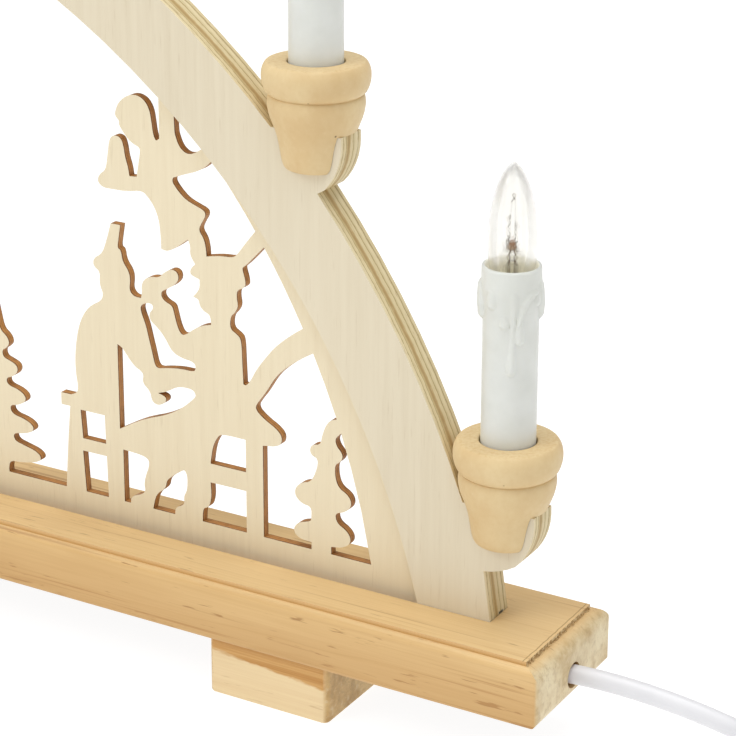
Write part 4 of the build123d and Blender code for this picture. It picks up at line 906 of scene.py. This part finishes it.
def lamp(i):
    x, zs = SEATS[i]
    rim = zs + SEAT_BELOW
    outer = smooth_profile(GLASS_OUT[1:], 2)
    inner = []
    for k, (r, h) in enumerate(outer):
        # wall of about half a millimetre, a little thicker at the drawn tip
        a_, b_ = outer[max(0, k - 1)], outer[min(len(outer) - 1, k + 1)]
        dr, dh = b_[0] - a_[0], b_[1] - a_[1]
        ln_ = math.hypot(dr, dh) or 1.0
        w = 0.5 + 0.4 * max(0.0, min(1.0, (h - 73.0) / 4.0))
        q = (r - w * dh / ln_, h + w * dr / ln_)
        if q[0] > 0.25:
            inner.append(q)
    inner.append((0.0, inner[-1][1] + 0.12))
    prof = [(3.3, 39.9), (3.85, 39.9)] + outer + list(reversed(inner))
    # turn the line so that it starts and ends inside the neck
    ob = lathe("bulb_%d" % (i + 1), prof, x, rim, segs=96, mat=glass_mat, sharp=60.0)
    body = "lamp_%d" % (i + 1)
    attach(ob, body)
    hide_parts("lamp_glass_%d" % (i + 1))
    # screw cap
    r, z = 4.7, 31.0
    prof = [(0.0, z), (1.6, z), (1.9, z + 0.5), (3.0, z + 1.3), (r - 0.45, z + 1.6)]
    zz = z + 1.8
    for _ in range(4):
        for q in range(8):
            u = q / 8
            prof.append((r - 0.25 - 0.2 * math.cos(2 * math.pi * u), zz + 1.75 * u))
        zz += 1.75
    prof += [(r - 0.45, z + 9.2), (r - 0.2, z + 10.2), (3.86, z + 10.2), (3.86, z + 2.6), (0.0, z + 2.6)]
    cap = lathe("cap_%d" % (i + 1), prof, x, rim, segs=64, closed=False, mat=nickel_mat, sharp=40.0)
    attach(cap, body)
    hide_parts("lamp_cap_%d" % (i + 1))
    stem = lathe("stem_%d" % (i + 1),
                 smooth_profile([(0.0, 39.9), (3.28, 39.9), (3.28, 40.5), (2.3, 41.4), (1.7, 43.0), (1.6, 46.0),
                                 (1.7, 49.0), (1.3, 50.2), (0.0, 50.6)], 1),
                 x, rim, segs=40, closed=False, mat=stem_mat, sharp=60.0)
    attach(stem, body)
    # lead wires, bead and filament
    rr = random.Random(40 + i)
    ang = math.radians(30.0 + rr.uniform(-25, 25))
    ca, sa = math.cos(ang), math.sin(ang)

    def at(u, w, h):
        return (x + u * ca - w * sa, u * sa + w * ca, rim + h)

    for k, s in enumerate((-1, 1)):
        pts_ = [at(s * 0.5, 0.0, 41.0), at(s * 0.55, 0.0, 47.5), at(s * 0.75, s * 0.1, 49.5), at(s * 0.5, s * 0.1, 50.9),
                at(s * 0.85, s * 0.2, 52.0), at(s * 0.45, s * 0.1, 53.1), at(s * 1.15, s * 0.2, 54.0), at(s * 0.8, 0.0, 54.9),
                at(s * 1.3, -s * 0.2, 55.7)]
        w = tube("leadwire_%d_%d" % (i + 1, k + 1), pts_, 0.19, fil_mat)
        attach(w, body)
    # knotted wire ends round the bead
    for k in range(5):
        u, w_, h = rr.uniform(-1.1, 1.1), rr.uniform(-0.6, 0.6), rr.uniform(52.8, 53.6)
        pts_ = []
        for _ in range(13):
            pts_.append(at(u, w_, h))
            u = max(-1.5, min(1.5, u + rr.uniform(-0.75, 0.75)))
            w_ = max(-1.0, min(1.0, w_ + rr.uniform(-0.5, 0.5)))
            h = min(57.6, h + rr.uniform(-0.25, 0.75))
        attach(tube("knot_%d_%d" % (i + 1, k + 1), pts_, 0.1, fil_mat), body)
    # two crooked wires that carry the filament
    for k, (s, top_) in enumerate(((-1, 62.4), (1, 60.2))):
        u, w_, h = s * 0.9, 0.1 * s, 55.5
        pts_ = [at(u, w_, h)]
        while h < top_:
            h += rr.uniform(0.35, 0.8)
            u = s * 0.85 + rr.uniform(-0.4, 0.4)
            pts_.append(at(u, w_ + rr.uniform(-0.15, 0.15), h))
        pts_ += [at(u + 0.5, w_, h + 0.25), at(u + 0.55, w_, h - 0.55), at(u + 0.05, w_, h - 0.7)]
        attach(tube("support_%d_%d" % (i + 1, k + 1), pts_, 0.1, fil_mat), body)
    bd = lathe("bead_%d" % (i + 1), smooth_profile([(0.0, 53.2), (0.8, 53.4), (1.15, 54.2), (1.05, 55.2), (0.7, 55.9),
                                                    (0.0, 56.1)], 2), x, rim, segs=32, closed=False, mat=bead_mat, sharp=60)
    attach(bd, body)
    # very fine filament, up through a small hook near the top
    line = [(-0.95, 0.0, 58.4), (-0.8, 0.15, 61.5), (-0.25, 0.15, 66.2), (0.1, 0.1, 67.6), (0.45, -0.05, 66.3), (0.7, -0.1, 61.2),
            (0.95, 0.0, 58.4)]
    fine = []
    for (u0, w0, h0), (u1, w1, h1) in zip(line, line[1:]):
        n_ = max(2, int(math.dist((u0, w0, h0), (u1, w1, h1)) / 0.05))
        for q in range(n_):
            t = q / n_
            fine.append((u0 + (u1 - u0) * t, w0 + (w1 - w0) * t, h0 + (h1 - h0) * t))
    helix = []
    for q, (u, w, h) in enumerate(fine):
        ph = q * 2 * math.pi / 7.0
        helix.append(at(u + 0.1 * math.cos(ph), w + 0.1 * math.sin(ph), h))
    fl = tube("filament_%d" % (i + 1), helix, 0.022, fil_mat, seg=4)
    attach(fl, body)
    hook = [at(-0.5, 0.1, 66.2), at(-0.1, 0.1, 67.0), at(0.35, 0.0, 67.5), at(0.5, 0.0, 68.3), at(0.1, 0.0, 68.7), at(-0.25, 0.1, 68.2),
            at(0.1, 0.1, 67.6), at(0.6, 0.1, 66.8)]
    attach(tube("hook_%d" % (i + 1), hook, 0.08, fil_mat), body)
    # holder
    hp = [(2.6, -12.0), (6.4, -12.0), (6.4, -10.0), (4.3, -8.6), (4.3, 21.0), (6.5, 23.0), (6.5, 41.0), (6.1, 41.6), (5.2, 41.6),
          (5.2, 30.4), (2.6, 30.4)]
    hd = lathe("holder_%d" % (i + 1), hp, x, rim, segs=64, mat=holder_mat, sharp=30)
    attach(hd, "arch")
    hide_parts("lamp_holder_%d" % (i + 1))


for i in range(7):
    cup(i)
    sleeve(i)
    lamp(i)

# -------------------------------------------------------------------- torn step
bm = bmesh.new()
r = random.Random(5)
y = -20.3
while y < 18.1:
    n_ = r.randint(1, 2)
    for _ in range(n_):
        cx = 287.75 + r.uniform(-0.05, 0.4)
        cz = 35.25 + r.uniform(-0.1, 0.55)
        sx, sy, sz = r.uniform(0.08, 0.2), r.uniform(0.14, 0.45), r.uniform(0.07, 0.2)
        mat_ = Matrix.Translation(((cx) * MM, (y + r.uniform(-0.3, 0.3)) * MM, cz * MM)) @ \
            Matrix.Rotation(r.uniform(-0.9, 0.9), 4, Vector((r.random(), r.random(), r.random()))) @ \
            Matrix.Diagonal((sx * MM, sy * MM, sz * MM, 1.0))
        res = bmesh.ops.create_icosphere(bm, subdivisions=1, radius=1.0, matrix=mat_)
        for v in res["verts"]:
            v.co += Vector((r.uniform(-0.04, 0.04), r.uniform(-0.06, 0.06), r.uniform(-0.04, 0.04))) * MM
    y += r.uniform(0.3, 1.0)
me = bpy.data.meshes.new("torn_grain")
bm.to_mesh(me)
bm.free()
torn = link(bpy.data.objects.new("torn_grain", me))


def torn_mat():
    m = Mat("torn_wood", rough=0.8, spec=0.2)
    g = m.noise(m.obj, scale=1500.0, detail=3.0)
    m.color(m.mix(m.fac_ramp(g, 0.35, 0.65), "#98723F", "#E0C797"))
    m.normal(m.bump(g, 0.3, 0.0003))
    m.rough(m.fac_ramp(g, 0.3, 0.7, 0.7, 0.9))
    return m


torn.data.materials.append(torn_mat().m)
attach(torn, "arch")

# ----------------------------------------------------------------- floor, light
bm = bmesh.new()
bmesh.ops.create_grid(bm, x_segments=1, y_segments=1, size=6.0)
me = bpy.data.meshes.new("floor")
bm.to_mesh(me)
bm.free()
floor = link(bpy.data.objects.new("floor", me))
fm = Mat("floor_paper", rough=0.9, spec=0.1)
g = fm.noise(fm.obj, scale=30.0, detail=2.0)
fm.color(fm.mix(fm.fac_ramp(g, 0.3, 0.7), (0.27, 0.27, 0.27), (0.25, 0.25, 0.25)))
fm.b.inputs["Emission Color"].default_value = (1.0, 1.0, 1.0, 1.0)
fm.b.inputs["Emission Strength"].default_value = 0.9
floor.data.materials.append(fm.m)

world = bpy.data.worlds.new("studio")
world.use_nodes = True
bg = world.node_tree.nodes["Background"]
bg.inputs[0].default_value = (1.0, 1.0, 1.0, 1.0)
bg.inputs[1].default_value = 0.43
scene.world = world


def area(name, loc, target, size, power, color=(1, 1, 1)):
    li = bpy.data.lights.new(name, "AREA")
    li.shape = "RECTANGLE"
    li.size, li.size_y = size
    li.energy = power
    li.color = color
    ob = bpy.data.objects.new(name, li)
    link(ob)
    ob.location = loc
    d = Vector(target) - Vector(loc)
    ob.rotation_mode = "QUATERNION"
    ob.rotation_quaternion = d.to_track_quat("-Z", "Y")
    return ob


area("key", (-0.75, -1.25, 1.35), (0.2, 0.0, 0.12), (1.0, 0.9), 11.5, (1.0, 0.99, 0.97))
area("top", (0.35, -0.02, 1.6), (0.2, 0.0, 0.1), (1.6, 1.2), 16.0, (1.0, 1.0, 1.0))
area("side", (1.45, -0.6, 0.75), (0.25, 0.0, 0.1), (1.0, 1.0), 2.0, (1.0, 1.0, 1.0))

scene.view_settings.view_transform = "Standard"
scene.view_settings.look = "None"
scene.view_settings.exposure = 0.0
scene.view_settings.gamma = 1.0

bpy.context.view_layer.update()
